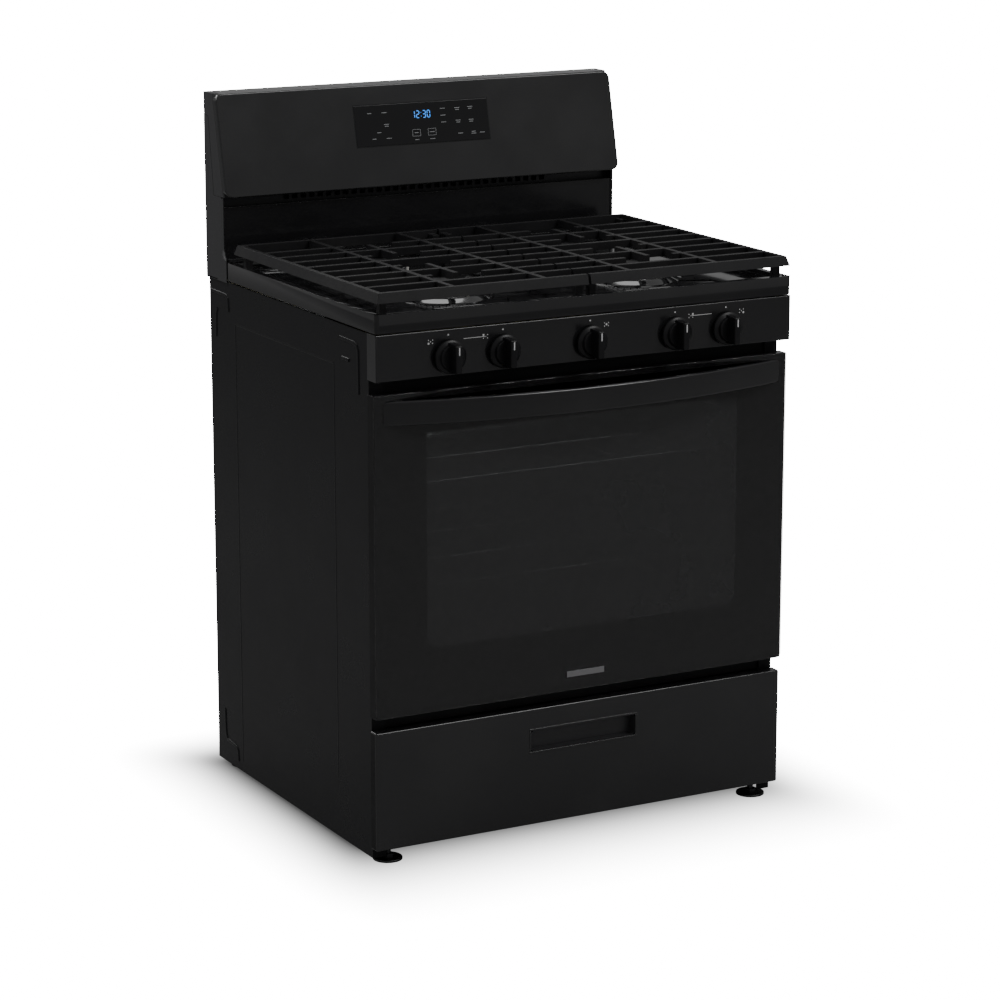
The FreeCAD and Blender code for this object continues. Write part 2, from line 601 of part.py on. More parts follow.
def knob(name, across):
    """A turned skirt and hub with a grip bar across it, and the valve stem that it sits on."""
    back = f"{PANEL_FACE} - knob_gap"
    front = f"{PANEL_FACE} - knob_reach"
    skirt = rod("skirt", "Y", (across, f"{back} - skirt_depth", "knob_level"), "skirt_radius", "skirt_depth")
    skirt = eased("soft_skirt", skirt, "1.5", lambda edge: edge.BoundBox.YMax < number(back) - 4)
    hub = rod("hub", "Y", (across, f"{back} - hub_depth", "knob_level"), "hub_radius", "hub_depth")
    grip = block("grip", (f"{across} - grip_width / 2", f"{across} + grip_width / 2"),
                 (front, back), ("knob_level - grip_length / 2", "knob_level + grip_length / 2"))
    grip = eased("soft_grip", grip, "2.5",
                 lambda edge: along(edge, "Y") or edge.BoundBox.YMax < number(front) + 0.1)
    bore = rod("knob_bore", "Y", (across, f"{back} - 22", "knob_level"), "stem_radius + 0.05", "30")
    node(f"{name}_knob", cut(f"{name}_knob", gather("knob_body", [skirt, hub, grip]), bore))
    tail = f"{VALVE_FRONT} + 10"
    stem = rod("stem", "Y", (across, f"{back} - 18", "knob_level"), "stem_radius",
               f"{tail} - ({back} - 18)")
    node(f"{name}_valve_stem", stem)


# ---------------------------------------------------------------- backguard

def slope_depth(level):
    """How far back the sloping console face is at a level."""
    rise = f"(({level}) - console_bottom) / (height - console_bottom)"
    return f"(console_front + (console_crown - console_front) * {rise})"


def leaning(name, x_span, level, length, inward, thickness):
    """A slab that leans with the console face, its lower edge at a level."""
    item = DOC.addObject("Part::Box", name)
    bind(item, "Length", f"({x_span[1]}) - ({x_span[0]})")
    bind(item, "Width", thickness)
    bind(item, "Height", length)
    lean = math.atan2(number("console_crown - console_front"), number("height - console_bottom"))
    turn = Rotation(Vector(1, 0, 0), -math.degrees(lean))
    reach = turn.multVec(Vector(0, 1, 0))
    return place(item, (x_span[0], f"{slope_depth(level)} + ({inward}) * {reach.y}",
                        f"{level} + ({inward}) * {reach.z}"), turn)


def backguard():
    """Splash panel, vent, sloping console, end caps and the cover behind them."""
    lip = [("cooktop_back - 6", "rim_top + fit"), ("splash_front + gauge", "rim_top + fit"),
           ("splash_front + gauge", "splash_top"), ("splash_front", "splash_top"),
           ("splash_front", "rim_top + fit + gauge"), ("cooktop_back - 6", "rim_top + fit + gauge")]
    node("splash_panel", plate("splash_panel", "YZ", "-splash_half", "splash_half", lip))
    wall = "2"
    inner_front, inner_crown = f"console_front + {wall} + 0.3", f"console_crown + {wall} - 0.2"
    rear = f"{BACK} - {wall}"
    tray = [("console_front", "console_bottom"), ("splash_front + 24", "console_bottom"),
            ("splash_front + 24", f"console_bottom + {wall}"), (inner_front, f"console_bottom + {wall}"),
            (inner_crown, f"height - {wall}"), (rear, f"height - {wall}"), (rear, "cover_top"),
            (BACK, "cover_top"), (BACK, "height"), ("console_crown", "height")]
    reach = f"({SIDE} - cap_thick - 0.1)"
    fascia = plate("console_fascia", "YZ", f"-{reach}", reach, tray)
    window = leaning("glass_window", ("-glass_half", "glass_half"), "glass_low",
                     "(glass_high - glass_low) * 1.026", "-4", "12")
    node("console_panel", cut("console_panel", fascia, window))
    edge = ("0.2 - glass_half", "glass_half - 0.2")
    glass = leaning("control_glass", edge, "glass_low + 0.2", "(glass_high - glass_low) * 1.02", "0.5", "2")
    node("control_glass", glass)
    board = leaning("board", ("-115", "115"), "glass_low + 3", "60", "9", "1.6")
    display = leaning("display", ("-26", "26"), "glass_low + 30", "24", "3", "6.2")
    relays = [leaning("relay", (f"{across}", f"{across} + 16"), "glass_low + 10", "20", "10.4", "14")
              for across in (-90, -60, 60, 90)]
    node("control_board", gather("control_board", [board, display, *relays]))
    cap = [("console_front", "console_bottom"), ("console_front + 52", "console_bottom"),
           ("console_crown + 31", "cover_top - 4"), (BACK, "cover_top"), (BACK, "height"),
           ("console_crown", "height")]
    caps = []
    for side in SIDES.values():
        low, high = mirrored(f"{SIDE} - cap_thick", SIDE, side)
        caps.append(eased("end_cap", plate("end_cap_blank", "YZ", low, high, cap), "3",
                          lambda edge: edge.BoundBox.YMax < number("console_crown") + 0.1
                          and abs(edge.CenterOfMass.x) > number(SIDE) - 0.1))
    node("console_end_caps", group("console_end_caps", caps))
    side_wall = [("cooktop_back + 0.5", "guard_bottom"), (BACK, "guard_bottom"),
                 (BACK, "cover_top - 0.5"), ("console_crown + 31.6", "cover_top - 4.5"),
                 ("console_front + 52.5", "console_bottom - 0.3"),
                 ("splash_front + 23", "splash_top"), ("splash_front + 23", "splash_top - 61"),
                 ("splash_front + 8", "rim_top - 3"), ("cooktop_back + 0.5", "rim_top - 19")]
    walls = [plate("side_wall", "YZ", *mirrored(f"{SIDE} - gauge", SIDE, side), side_wall)
             for side in SIDES.values()]
    back = block("back_sheet", (f"-({SIDE})", SIDE), (f"{BACK} - 1.4", BACK),
                 ("guard_bottom", "cover_top - 0.5"))
    floor = block("bottom_sheet", (f"-({SIDE})", SIDE), ("oven_back + 50", BACK),
                  ("guard_bottom + 1", "guard_bottom + 2.5"))
    node("backguard_cover", gather("backguard_cover", [*walls, back, floor]))
    slots = []
    for step in range(32):
        low = f"16 * {step} - 256"
        slots.append(rectangle(low, f"{low} + 10", "splash_top + 4", "console_bottom - 4"))
    inside = f"{SIDE} - gauge - fit"
    node("vent_grille", plate("vent_grille", "XZ", "splash_front + 18", "splash_front + 19.5",
                              rectangle(f"-({inside})", inside, "splash_top - 4", "console_bottom - fit"),
                              *slots))


# ---------------------------------------------------------------- door

def hinge_arms():
    """The fixed arms that reach out of the body and carry the door's pivot pins."""
    arms = []
    for side in SIDES.values():
        across = mirrored("hinge_across - arm_width / 2", "hinge_across + arm_width / 2", side)
        bar = block("arm_bar", across, (HINGE_Y, f"{FRAME_BACK} + 60"), (f"{HINGE_Z} - 4", f"{HINGE_Z} + 4"))
        eye = rod("arm_eye", "X", (across[0], HINGE_Y, HINGE_Z), "5", "arm_width")
        hook = block("arm_hook", across, (f"{FRAME_BACK} + 1", f"{FRAME_BACK} + 60"),
                     (f"{HINGE_Z} + 3", f"{HINGE_Z} + 24"))
        bore = rod("arm_bore", "X", (f"{across[0]} - 1", HINGE_Y, HINGE_Z), "pin_radius + 0.1",
                   "arm_width + 2")
        arms.append(cut("arm", gather("arm_body", [bar, eye, hook]), bore))
    node("hinge_arms", group("hinge_arms", arms))


def door():
    """Frame, full-width outer glass, enamelled inner panel with its own glass, gasket and pins."""
    back_of_glass = f"({DOOR_FACE} + glass)"
    band = 10
    outer = block("door_outer", (f"-({SIDE})", SIDE), (back_of_glass, DOOR_BACK), ("door_bottom", "door_top"))
    hollow = block("door_hollow", (f"{band} - {SIDE}", f"{SIDE} - {band}"),
                   (f"{back_of_glass} + 1", "0"), (f"door_bottom + {band}", f"door_top - {band}"))
    window = block("door_window", ("-window_half", "window_half"), (f"{DOOR_FACE} - 1", "0"),
                   ("window_low", "window_high"))
    notches, pins = [], []
    for side in SIDES.values():
        notches.append(block("hinge_notch", mirrored("hinge_across - 5", "hinge_across + 5", side),
                             (f"{HINGE_Y} - 6", "0"), ("door_bottom - 1", f"{HINGE_Z} + 6")))
        low, high = mirrored("hinge_across - 12", "hinge_across + 12", side)
        notches.append(rod("pin_bore", "X", (low, HINGE_Y, HINGE_Z), "pin_radius", "24"))
        pins.append(rod("pin", "X", (low, HINGE_Y, HINGE_Z), "pin_radius", "24"))
    node("door_frame", cut("door_frame", outer, hollow, window, *notches))
    node("door_hinge_pins", group("door_hinge_pins", pins))
    pane = plate("outer_pane", "XZ", DOOR_FACE, back_of_glass,
                 rectangle(f"-({SIDE})", SIDE, "door_bottom", "door_top"))
    node("door_outer_glass", eased("door_outer_glass", pane, "8", lambda edge: along(edge, "Y")
                                   and edge.BoundBox.ZMax < number("door_bottom") + 1))
    panel = block("panel_sheet", (f"{band} + fit - {SIDE}", f"{SIDE} - {band} - fit"),
                  (f"{DOOR_BACK} - gauge", DOOR_BACK),
                  (f"door_bottom + {band} + fit", f"door_top - {band} - fit"))
    plug = block("plug", ("-plug_half", "plug_half"), (f"{DOOR_BACK} - gauge", f"{DOOR_BACK} + plug_depth"),
                 ("plug_low", "plug_high"))
    inside = block("plug_inside", ("gauge - plug_half", "plug_half - gauge"),
                   (f"{DOOR_BACK} - gauge - 1", f"{DOOR_BACK} + plug_depth - gauge"),
                   ("plug_low + gauge", "plug_high - gauge"))
    sight = block("plug_window", ("3 - window_half", "window_half - 3"), (DOOR_FACE, "0"),
                  ("window_low + 3", "window_high - 3"))
    shell = eased("panel_body", gather("panel_blank", [panel, plug]), "6",
                  lambda edge: along(edge, "Y") and edge.BoundBox.YMax > number(DOOR_BACK) + 2)
    node("door_inner_panel", cut("door_inner_panel", shell, inside, sight))
    node("door_inner_glass", block("door_inner_glass", ("-plug_half + 3", "plug_half - 3"),
                                   (f"{DOOR_BACK} + plug_depth - gauge - glass - 0.1",
                                    f"{DOOR_BACK} + plug_depth - gauge - 0.1"),
                                   ("window_low - 6", "window_high + 6")))
    node("door_gasket", plate("door_gasket", "XZ", DOOR_BACK, f"{FRAME_FACE} - fit",
                              rectangle("-opening_half - 14", "opening_half + 14",
                                        "opening_low - 14", "opening_high + 12"),
                              rectangle("-opening_half - 5", "opening_half + 5",
                                        "opening_low - 5", "opening_high + 3")))
    bow = [("-handle_half", DOOR_FACE, "handle_reach"), ("handle_half", DOOR_FACE),
           ("handle_half - 26", DOOR_FACE, "handle_thick - handle_reach"), ("26 - handle_half", DOOR_FACE)]
    node("door_handle", plate("door_handle", "XY", "handle_low", "handle_high", bow))


# ---------------------------------------------------------------- drawer

def drawer():
    """A pressed front with a pocket pull, the tray behind it with side flanges, and the broiler pan."""
    levels = ("drawer_bottom", "drawer_top")
    outer = block("front_outer", (f"-({SIDE})", SIDE), (DRAWER_FACE, DOOR_BACK), levels)
    rounded = eased("front_rounded", outer, "3", lambda edge: edge.BoundBox.YMax < number(DOOR_BACK) - 1
                    or along(edge, "Y"))
    hollow = block("front_hollow", (f"gauge - {SIDE}", f"{SIDE} - gauge"), (f"{DRAWER_FACE} + gauge", "0"),
                   ("drawer_bottom + gauge", "drawer_top - gauge"))
    cup = block("cup", ("-pocket_half - gauge", "pocket_half + gauge"),
                (f"{DRAWER_FACE} + gauge / 2", f"{DOOR_BACK} - 0.2"),
                ("pocket_low - gauge", "pocket_high + gauge"))
    pocket = block("pocket", ("-pocket_half", "pocket_half"), (f"{DRAWER_FACE} - 1", f"{DOOR_BACK} - gauge"),
                   ("pocket_low", "pocket_high"))
    blank = gather("front_blank", [cut("front_shell", rounded, hollow), cup])
    node("drawer_front", cut("drawer_front", blank, pocket))
    box = block("tray_outer", ("-tray_half", "tray_half"), (f"{DOOR_BACK} + 0.1", "tray_back"),
                ("tray_low", "tray_high"))
    hollow = block("tray_hollow", ("gauge - tray_half", "tray_half - gauge"),
                   (f"{DOOR_BACK} + gauge + 0.1", "tray_back - gauge"), ("tray_low + gauge", "tray_high + 1"))
    flanges = [block("runner", mirrored("tray_half - gauge / 2", "tray_half + 16", side),
                     (f"{FRAME_BACK} + 4", "tray_back"), ("runner_level", "runner_level + 2"))
               for side in SIDES.values()]
    node("drawer_tray", gather("drawer_tray", [cut("tray_shell", box, hollow), *flanges]))
    rails = [block("rail", mirrored("tray_half + 7", f"{SKIN} - 1.7", side),
                   (f"{FRAME_BACK} + 1", "tray_back + 60"),
                   ("runner_level - 5", "runner_level - fit")) for side in SIDES.values()]
    node("drawer_rails", group("drawer_rails", rails))
    pan = block("pan_blank", ("-190", "190"), ("-210", "150"), ("tray_low + gauge + fit", "tray_low + 36"))
    pan_hollow = block("pan_hollow", ("-186", "186"), ("-206", "146"), ("tray_low + 6", "tray_low + 37"))
    node("broiler_pan", cut("broiler_pan", eased("pan_eased", pan, "14", lambda edge: along(edge, "Z")),
                            pan_hollow))


# ---------------------------------------------------------------- racks and feet

def oven_rack(name, level):
    """A welded wire rack: a border, two cross wires and a row of thinner wires along the depth."""
    front, rear = "-rack_front", "rack_front - 8"
    depth = f"{rear} - ({front})"
    wires = [rod("side_wire", "Y", (f"{side} * (rack_half)", front, level), "rack_wire", depth)
             for side in SIDES.values()]
    wires += [rod("cross_wire", "X", ("-rack_half", across, level), "rack_wire", "2 * rack_half")
              for across in (front, "-80", "80", rear)]
    wires += [rod("thin_wire", "Y", (f"rack_half * {step} / 9", front, level), "rack_wire * 0.6", depth)
              for step in range(-8, 9)]
    corners = [(f"{side} * rack_half", depth_at, level)
               for side in SIDES.values() for depth_at in (front, rear)]
    for corner in corners:
        ball = DOC.addObject("Part::Sphere", "corner")
        bind(ball, "Radius", "rack_wire")
        wires.append(place(ball, corner))
    node(name, gather(name, wires))


def levelling_foot(name, side, depth):
    """A pressed pad on a threaded stem, with a hexagon to turn it by."""
    at = f"{side} * foot_across"
    pad = rod("foot_pad", "Z", (at, depth, "0"), "foot_radius", "4")
    pad = eased("foot_pad_eased", pad, "1.2", lambda edge: edge.BoundBox.ZMin > 3)
    stem = rod("foot_stem", "Z", (at, depth, "3"), "foot_stem", "drawer_bottom + 6")
    hexagon = DOC.addObject("Part::Prism", "hexagon")
    hexagon.Polygon = 6
    bind(hexagon, "Circumradius", "foot_stem * 2")
    bind(hexagon, "Height", "6")
    place(hexagon, (at, depth, "4"))
    node(name, gather(name, [pad, stem, hexagon]))


def build():
    for name, side in SIDES.items():
        side_panel(f"{name}_side_panel", side)
        grate(f"{name}_grate", side)
    for make in (rear_panel, base_frame, front_frame, oven_liner, oven_floor, bake_burner, oven_insulation,
                 oven_flue, rack_guides, services, cooktop, burners, control_panel, gas_train, backguard,
                 hinge_arms, door, drawer):
        make()
    for name, across in KNOBS.items():
        knob(name, across)
    oven_rack("upper_oven_rack", "upper_rack")
    oven_rack("lower_oven_rack", "lower_rack")
    for name, side in SIDES.items():
        levelling_foot(f"front_{name}_foot", side, "-front_foot")
        levelling_foot(f"rear_{name}_foot", side, "rear_foot")


build()
DOC.recompute()
faults = [item.Name for item in DOC.Objects if "Invalid" in item.State or "Error" in item.State]
faults += [item.Label for item in NODES if item.Shape.isNull() or not item.Shape.isValid()]
if faults:
    raise RuntimeError(f"failed objects: {faults}")
os.makedirs("parts", exist_ok=True)
for item in NODES:
    item.Shape.exportStep(f"parts/{item.Label}.step")
print(len(NODES), "sub-parts written")
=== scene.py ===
"""Looks of a freestanding gas range: enamel, glass, cast grates, knobs and console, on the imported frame."""
import json
import math

import bmesh
import bpy
from mathutils import Matrix, Vector


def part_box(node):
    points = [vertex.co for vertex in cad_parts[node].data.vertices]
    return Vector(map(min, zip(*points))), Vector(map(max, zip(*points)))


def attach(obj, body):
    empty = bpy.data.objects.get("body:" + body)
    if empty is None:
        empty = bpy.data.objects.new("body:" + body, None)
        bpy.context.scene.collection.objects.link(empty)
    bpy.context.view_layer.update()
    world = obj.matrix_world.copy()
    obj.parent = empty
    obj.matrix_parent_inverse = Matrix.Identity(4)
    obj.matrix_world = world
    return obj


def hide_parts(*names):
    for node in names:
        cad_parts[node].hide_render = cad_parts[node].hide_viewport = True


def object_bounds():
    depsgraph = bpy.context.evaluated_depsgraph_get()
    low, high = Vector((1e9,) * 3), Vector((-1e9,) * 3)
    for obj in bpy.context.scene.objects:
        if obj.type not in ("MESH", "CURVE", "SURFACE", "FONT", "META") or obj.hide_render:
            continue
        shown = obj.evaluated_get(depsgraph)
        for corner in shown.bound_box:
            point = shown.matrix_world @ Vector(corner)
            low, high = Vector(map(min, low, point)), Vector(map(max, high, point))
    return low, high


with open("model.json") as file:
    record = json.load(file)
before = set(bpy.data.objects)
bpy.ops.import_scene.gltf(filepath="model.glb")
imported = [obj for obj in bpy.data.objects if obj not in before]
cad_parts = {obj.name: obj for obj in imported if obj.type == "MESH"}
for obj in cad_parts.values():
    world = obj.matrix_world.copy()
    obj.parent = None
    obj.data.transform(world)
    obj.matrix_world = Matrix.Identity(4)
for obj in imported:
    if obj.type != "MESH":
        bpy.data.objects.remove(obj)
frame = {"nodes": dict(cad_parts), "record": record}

CAD_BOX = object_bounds()
BODIES = frame["record"]["behaviour"]["bodies"]
BODY_OF = {node: body for body, nodes in BODIES.items() for node in nodes}
KNOBS = ("front_left", "rear_left", "centre", "rear_right", "front_right")


# ---------------------------------------------------------------- shader groups

def new_group(name, inputs, outputs):
    """A shader node group with named sockets: floats by default, and 'vector' by word."""
    kinds = {"vector": "NodeSocketVector"}
    group = bpy.data.node_groups.new(name, "ShaderNodeTree")
    for socket_name, default in inputs.items():
        kind = kinds.get(default, "NodeSocketFloat")
        socket = group.interface.new_socket(socket_name, in_out="INPUT", socket_type=kind)
        if kind == "NodeSocketFloat":
            socket.default_value = default
    for socket_name, default in outputs.items():
        group.interface.new_socket(socket_name, in_out="OUTPUT",
                                   socket_type=kinds.get(default, "NodeSocketFloat"))
    return group, group.nodes.new("NodeGroupInput"), group.nodes.new("NodeGroupOutput")


def math_node(tree, operation, *values):
    """A Math node fed by numbers or by sockets."""
    node = tree.nodes.new("ShaderNodeMath")
    node.operation = operation
    for socket, value in zip(node.inputs, values):
        if isinstance(value, (int, float)):
            socket.default_value = value
        else:
            tree.links.new(value, socket)
    return node.outputs[0]


def noise(tree, place, scale, detail=3.0):
    node = tree.nodes.new("ShaderNodeTexNoise")
    node.inputs["Detail"].default_value = detail
    tree.links.new(place, node.inputs["Vector"])
    if isinstance(scale, (int, float)):
        node.inputs["Scale"].default_value = scale
    else:
        tree.links.new(scale, node.inputs["Scale"])
    return node.outputs["Fac"]


def remap(tree, value, low, high, out_low, out_high):
    node = tree.nodes.new("ShaderNodeMapRange")
    node.interpolation_type = "SMOOTHSTEP"
    tree.links.new(value, node.inputs["Value"])
    for key, amount in (("From Min", low), ("From Max", high), ("To Min", out_low), ("To Max", out_high)):
        if isinstance(amount, (int, float)):
            node.inputs[key].default_value = amount
        else:
            tree.links.new(amount, node.inputs[key])
    return node.outputs["Result"]


def make_grain_group():
    """Fine grain for paint, castings and plastic: a height and a roughness that wanders."""
    sockets = {"Place": "vector", "Grain scale": 900.0, "Cloud scale": 9.0,
               "Roughness low": 0.3, "Roughness high": 0.4}
    group, source, sink = new_group("Fine grain", sockets, {"Height": 0, "Roughness": 0})
    fine = noise(group, source.outputs["Place"], source.outputs["Grain scale"])
    cloud = noise(group, source.outputs["Place"], source.outputs["Cloud scale"], 5.0)
    group.links.new(fine, sink.inputs["Height"])
    rough = remap(group, cloud, 0.3, 0.7, source.outputs["Roughness low"], source.outputs["Roughness high"])
    group.links.new(rough, sink.inputs["Roughness"])
    return group


def make_dust_group():
    """Faint dust and handling marks: a mask that gathers in patches and in fine specks."""
    group, source, sink = new_group("Dust", {"Place": "vector", "Amount": 0.2}, {"Mask": 0})
    patches = remap(group, noise(group, source.outputs["Place"], 6.0, 6.0), 0.45, 0.75, 0.0, 1.0)
    specks = remap(group, noise(group, source.outputs["Place"], 700.0, 2.0), 0.62, 0.72, 0.0, 1.0)
    both = math_node(group, "ADD", math_node(group, "MULTIPLY", patches, 0.5),
                     math_node(group, "MULTIPLY", specks, 0.35))
    group.links.new(math_node(group, "MULTIPLY", both, source.outputs["Amount"]), sink.inputs["Mask"])
    return group


GRAIN = make_grain_group()
DUST = make_dust_group()


# ---------------------------------------------------------------- materials

class Finish:
    """A material being built round one Principled shader."""

    def __init__(self, name, colour, **settings):
        self.material = bpy.data.materials.new(name)
        self.material.use_nodes = True
        self.tree = self.material.node_tree
        self.shader = self.tree.nodes["Principled BSDF"]
        self.place = self.tree.nodes.new("ShaderNodeTexCoord").outputs["Object"]
        self.shader.inputs["Base Color"].default_value = (*colour, 1.0)
        self.height = None
        self.set(**settings)

    def set(self, **settings):
        for key, value in settings.items():
            self.shader.inputs[key.replace("_", " ").title().replace("Ior", "IOR")].default_value = value

    def group(self, group, **values):
        """Place a shader group and set its inputs: sockets are linked and numbers are set."""
        node = self.tree.nodes.new("ShaderNodeGroup")
        node.node_tree = group
        if "Place" in node.inputs:
            self.tree.links.new(self.place, node.inputs["Place"])
        for key, value in values.items():
            node.inputs[key.replace("_", " ")].default_value = value
        return node

    def grain(self, scale, low, high, depth, cloud=9.0):
        """Roughness that wanders from low to high, and a fine relief of that depth in metres."""
        node = self.group(GRAIN, Grain_scale=scale, Cloud_scale=cloud, Roughness_low=low, Roughness_high=high)
        self.tree.links.new(node.outputs["Roughness"], self.shader.inputs["Roughness"])
        self.relief(node.outputs["Height"], depth)

    def relief(self, height, depth):
        bump = self.tree.nodes.new("ShaderNodeBump")
        bump.inputs["Distance"].default_value = depth
        self.tree.links.new(height, bump.inputs["Height"])
        if self.height is not None:
            self.tree.links.new(self.height, bump.inputs["Normal"])
        self.height = bump.outputs["Normal"]
        self.tree.links.new(self.height, self.shader.inputs["Normal"])

    def mix(self, mask, colour):
        """Blend another colour over the base where the mask is high."""
        mixer = self.tree.nodes.new("ShaderNodeMix")
        mixer.data_type = "RGBA"
        base = self.shader.inputs["Base Color"]
        if base.is_linked:
            self.tree.links.new(base.links[0].from_socket, mixer.inputs["A"])
        else:
            mixer.inputs["A"].default_value = base.default_value
        mixer.inputs["B"].default_value = (*colour, 1.0)
        self.tree.links.new(mask, mixer.inputs["Factor"])
        self.tree.links.new(mixer.outputs["Result"], base)

    def dust(self, amount, colour=(0.35, 0.34, 0.32)):
        self.mix(self.group(DUST, Amount=amount).outputs["Mask"], colour)


def gloss_enamel(name, low, high, coat_roughness):
    """Black porcelain enamel with a faint orange-peel ripple."""
    finish = Finish(name, (0.010, 0.010, 0.011), coat_weight=0.4, coat_roughness=coat_roughness)
    finish.grain(260.0, low, high, 0.000003)
    finish.dust(0.03)
    return finish.material


def shaded_paint():
    """Painted shade: a dull black, darker than the other paints, for the frames and slots that lie back from
    the front.
    """
    finish = Finish("Dull black painted shade paint", (0.004, 0.004, 0.0045), specular_ior_level=0.25)
    finish.grain(1500.0, 0.50, 0.62, 0.00004)
    finish.dust(0.02)
    return finish.material


def satin_paint():
    """Black textured paint on the outer panels."""
    finish = Finish("Satin black paint", (0.030, 0.030, 0.032))
    finish.grain(1500.0, 0.30, 0.38, 0.00002)
    finish.dust(0.02)
    return finish.material


def side_paint():
    """The smoother satin paint of the side panels."""
    finish = Finish("Satin side panel paint", (0.013, 0.013, 0.014), specular_ior_level=0.12)
    finish.grain(400.0, 0.27, 0.33, 0.000003)
    return finish.material


def cast_iron():
    """Matte enamelled casting with a coarse skin."""
    finish = Finish("Matte cast iron enamel", (0.009, 0.009, 0.010), specular_ior_level=0.3)
    finish.grain(1100.0, 0.42, 0.55, 0.00020, cloud=30.0)
    finish.dust(0.10, (0.16, 0.15, 0.14))
    return finish.material


def moulded_plastic():
    finish = Finish("Black moulded plastic", (0.008, 0.008, 0.009), specular_ior_level=0.3)
    finish.grain(1800.0, 0.32, 0.40, 0.00003)
    finish.dust(0.04)
    return finish.material


def dark_glass():
    """Tinted door glass."""
    finish = Finish("Dark door glass", (0.026, 0.026, 0.027), alpha=0.58, ior=1.65)
    finish.grain(60.0, 0.015, 0.035, 0.0000004, cloud=14.0)
    return finish.material


def clear_glass():
    finish = Finish("Clear heat-proof glass", (0.55, 0.60, 0.58), alpha=0.16, ior=1.6)
    finish.grain(50.0, 0.01, 0.03, 0.0000004, cloud=12.0)
    return finish.material


def window_screen():
    """The fine printed screen inside the door glass: mostly dark dots with clear gaps."""
    finish = Finish("Printed window screen", (0.30, 0.303, 0.31), alpha=0.50)
    finish.grain(900.0, 0.45, 0.55, 0.000002)
    finish.dust(0.03)
    return finish.material


def console_glass():
    finish = Finish("Black console glass", (0.004, 0.004, 0.005), ior=1.5)
    finish.grain(80.0, 0.05, 0.09, 0.000004)
    return finish.material


def speckled_enamel():
    """Oven enamel: dark blue-black with pale specks."""
    finish = Finish("Speckled oven enamel", (0.012, 0.013, 0.018), coat_weight=0.3, coat_roughness=0.1)
    finish.grain(300.0, 0.18, 0.26, 0.00004)
    specks = finish.tree.nodes.new("ShaderNodeTexVoronoi")
    specks.inputs["Scale"].default_value = 420.0
    finish.tree.links.new(finish.place, specks.inputs["Vector"])
    mask = remap(finish.tree, specks.outputs["Distance"], 0.08, 0.14, 0.6, 0.0)
    finish.mix(mask, (0.14, 0.145, 0.16))
    return finish.material


def metal(name, colour, scale, low, high, depth, stain=None):
    """A bare metal: a grain, a wandering roughness and, if asked, a stain that gathers in patches."""
    finish = Finish(name, colour, metallic=1.0)
    finish.grain(scale, low, high, depth)
    if stain is not None:
        patches = noise(finish.tree, finish.place, 14.0, 6.0)
        finish.mix(remap(finish.tree, patches, 0.45, 0.75, 0.0, 0.5), stain)
    return finish


def galvanised():
    """Galvanised sheet with its spangle."""
    finish = metal("Galvanised sheet", (0.52, 0.54, 0.56), 900.0, 0.32, 0.42, 0.00002)
    spangle = finish.tree.nodes.new("ShaderNodeTexVoronoi")
    spangle.inputs["Scale"].default_value = 55.0
    finish.tree.links.new(finish.place, spangle.inputs["Vector"])
    tone = finish.tree.nodes.new("ShaderNodeSeparateColor")
    finish.tree.links.new(spangle.outputs["Color"], tone.inputs[0])
    finish.mix(remap(finish.tree, tone.outputs[0], 0.0, 1.0, 0.0, 0.45), (0.36, 0.38, 0.41))
    return finish.material


def fibre(name, colour, shade, scale):
    """Woven or felted fibre: crossed waves broken up by noise."""
    finish = Finish(name, colour, sheen_weight=0.2)
    finish.grain(scale, 0.85, 0.95, 0.0004, cloud=40.0)
    weave = finish.tree.nodes.new("ShaderNodeTexWave")
    weave.inputs["Scale"].default_value = scale / 6
    weave.inputs["Distortion"].default_value = 3.0
    finish.tree.links.new(finish.place, weave.inputs["Vector"])
    finish.mix(remap(finish.tree, weave.outputs["Fac"], 0.2, 0.8, 0.0, 0.6), shade)
    finish.relief(weave.outputs["Fac"], 0.0004)
    return finish.material


def printed(name, colour):
    """Screen-printed ink with slightly uneven cover."""
    finish = Finish(name, colour)
    finish.grain(2400.0, 0.35, 0.5, 0.00001, cloud=60.0)
    finish.dust(0.15, (0.45, 0.45, 0.45))
    return finish.material


def lit_digits():
    """Glowing display segments, their brightness wandering a little from place to place."""
    finish = Finish("Blue display light", (0.02, 0.10, 0.25), emission_strength=1.6)
    finish.grain(900.0, 0.3, 0.4, 0.00001)
    glow = remap(finish.tree, noise(finish.tree, finish.place, 120.0), 0.3, 0.7, 0.8, 1.0)
    mixer = finish.tree.nodes.new("ShaderNodeMix")
    mixer.data_type = "RGBA"
    mixer.inputs["A"].default_value = (0.02, 0.14, 0.50, 1.0)
    mixer.inputs["B"].default_value = (0.06, 0.32, 1.0, 1.0)
    finish.tree.links.new(glow, mixer.inputs["Factor"])
    finish.tree.links.new(mixer.outputs["Result"], finish.shader.inputs["Emission Color"])
    return finish.material


ENAMEL = gloss_enamel("Black enamel", 0.20, 0.27, 0.12)
COOKTOP_ENAMEL = gloss_enamel("Gloss cooktop enamel", 0.07, 0.12, 0.03)
PAINTED_SHADE_BLACK = shaded_paint()
CAP_PAINT = satin_paint()
SIDE_PAINT = side_paint()
IRON = cast_iron()
PLASTIC = moulded_plastic()
DOOR_GLASS = dark_glass()
CLEAR_GLASS = clear_glass()
CONSOLE_GLASS = console_glass()
SCREEN = window_screen()
OVEN_ENAMEL = speckled_enamel()
ZINC_SHEET = galvanised()
BRIGHT_WIRE = metal("Chromed wire", (0.60, 0.61, 0.62), 700.0, 0.34, 0.46, 0.00001).material
STEEL = metal("Plain steel", (0.50, 0.49, 0.48), 1200.0, 0.30, 0.42, 0.00003, (0.30, 0.28, 0.26)).material
ALUMINIUM = metal("Cast aluminium", (0.66, 0.66, 0.67), 1500.0, 0.36, 0.48, 0.00008,
                  (0.42, 0.41, 0.40)).material
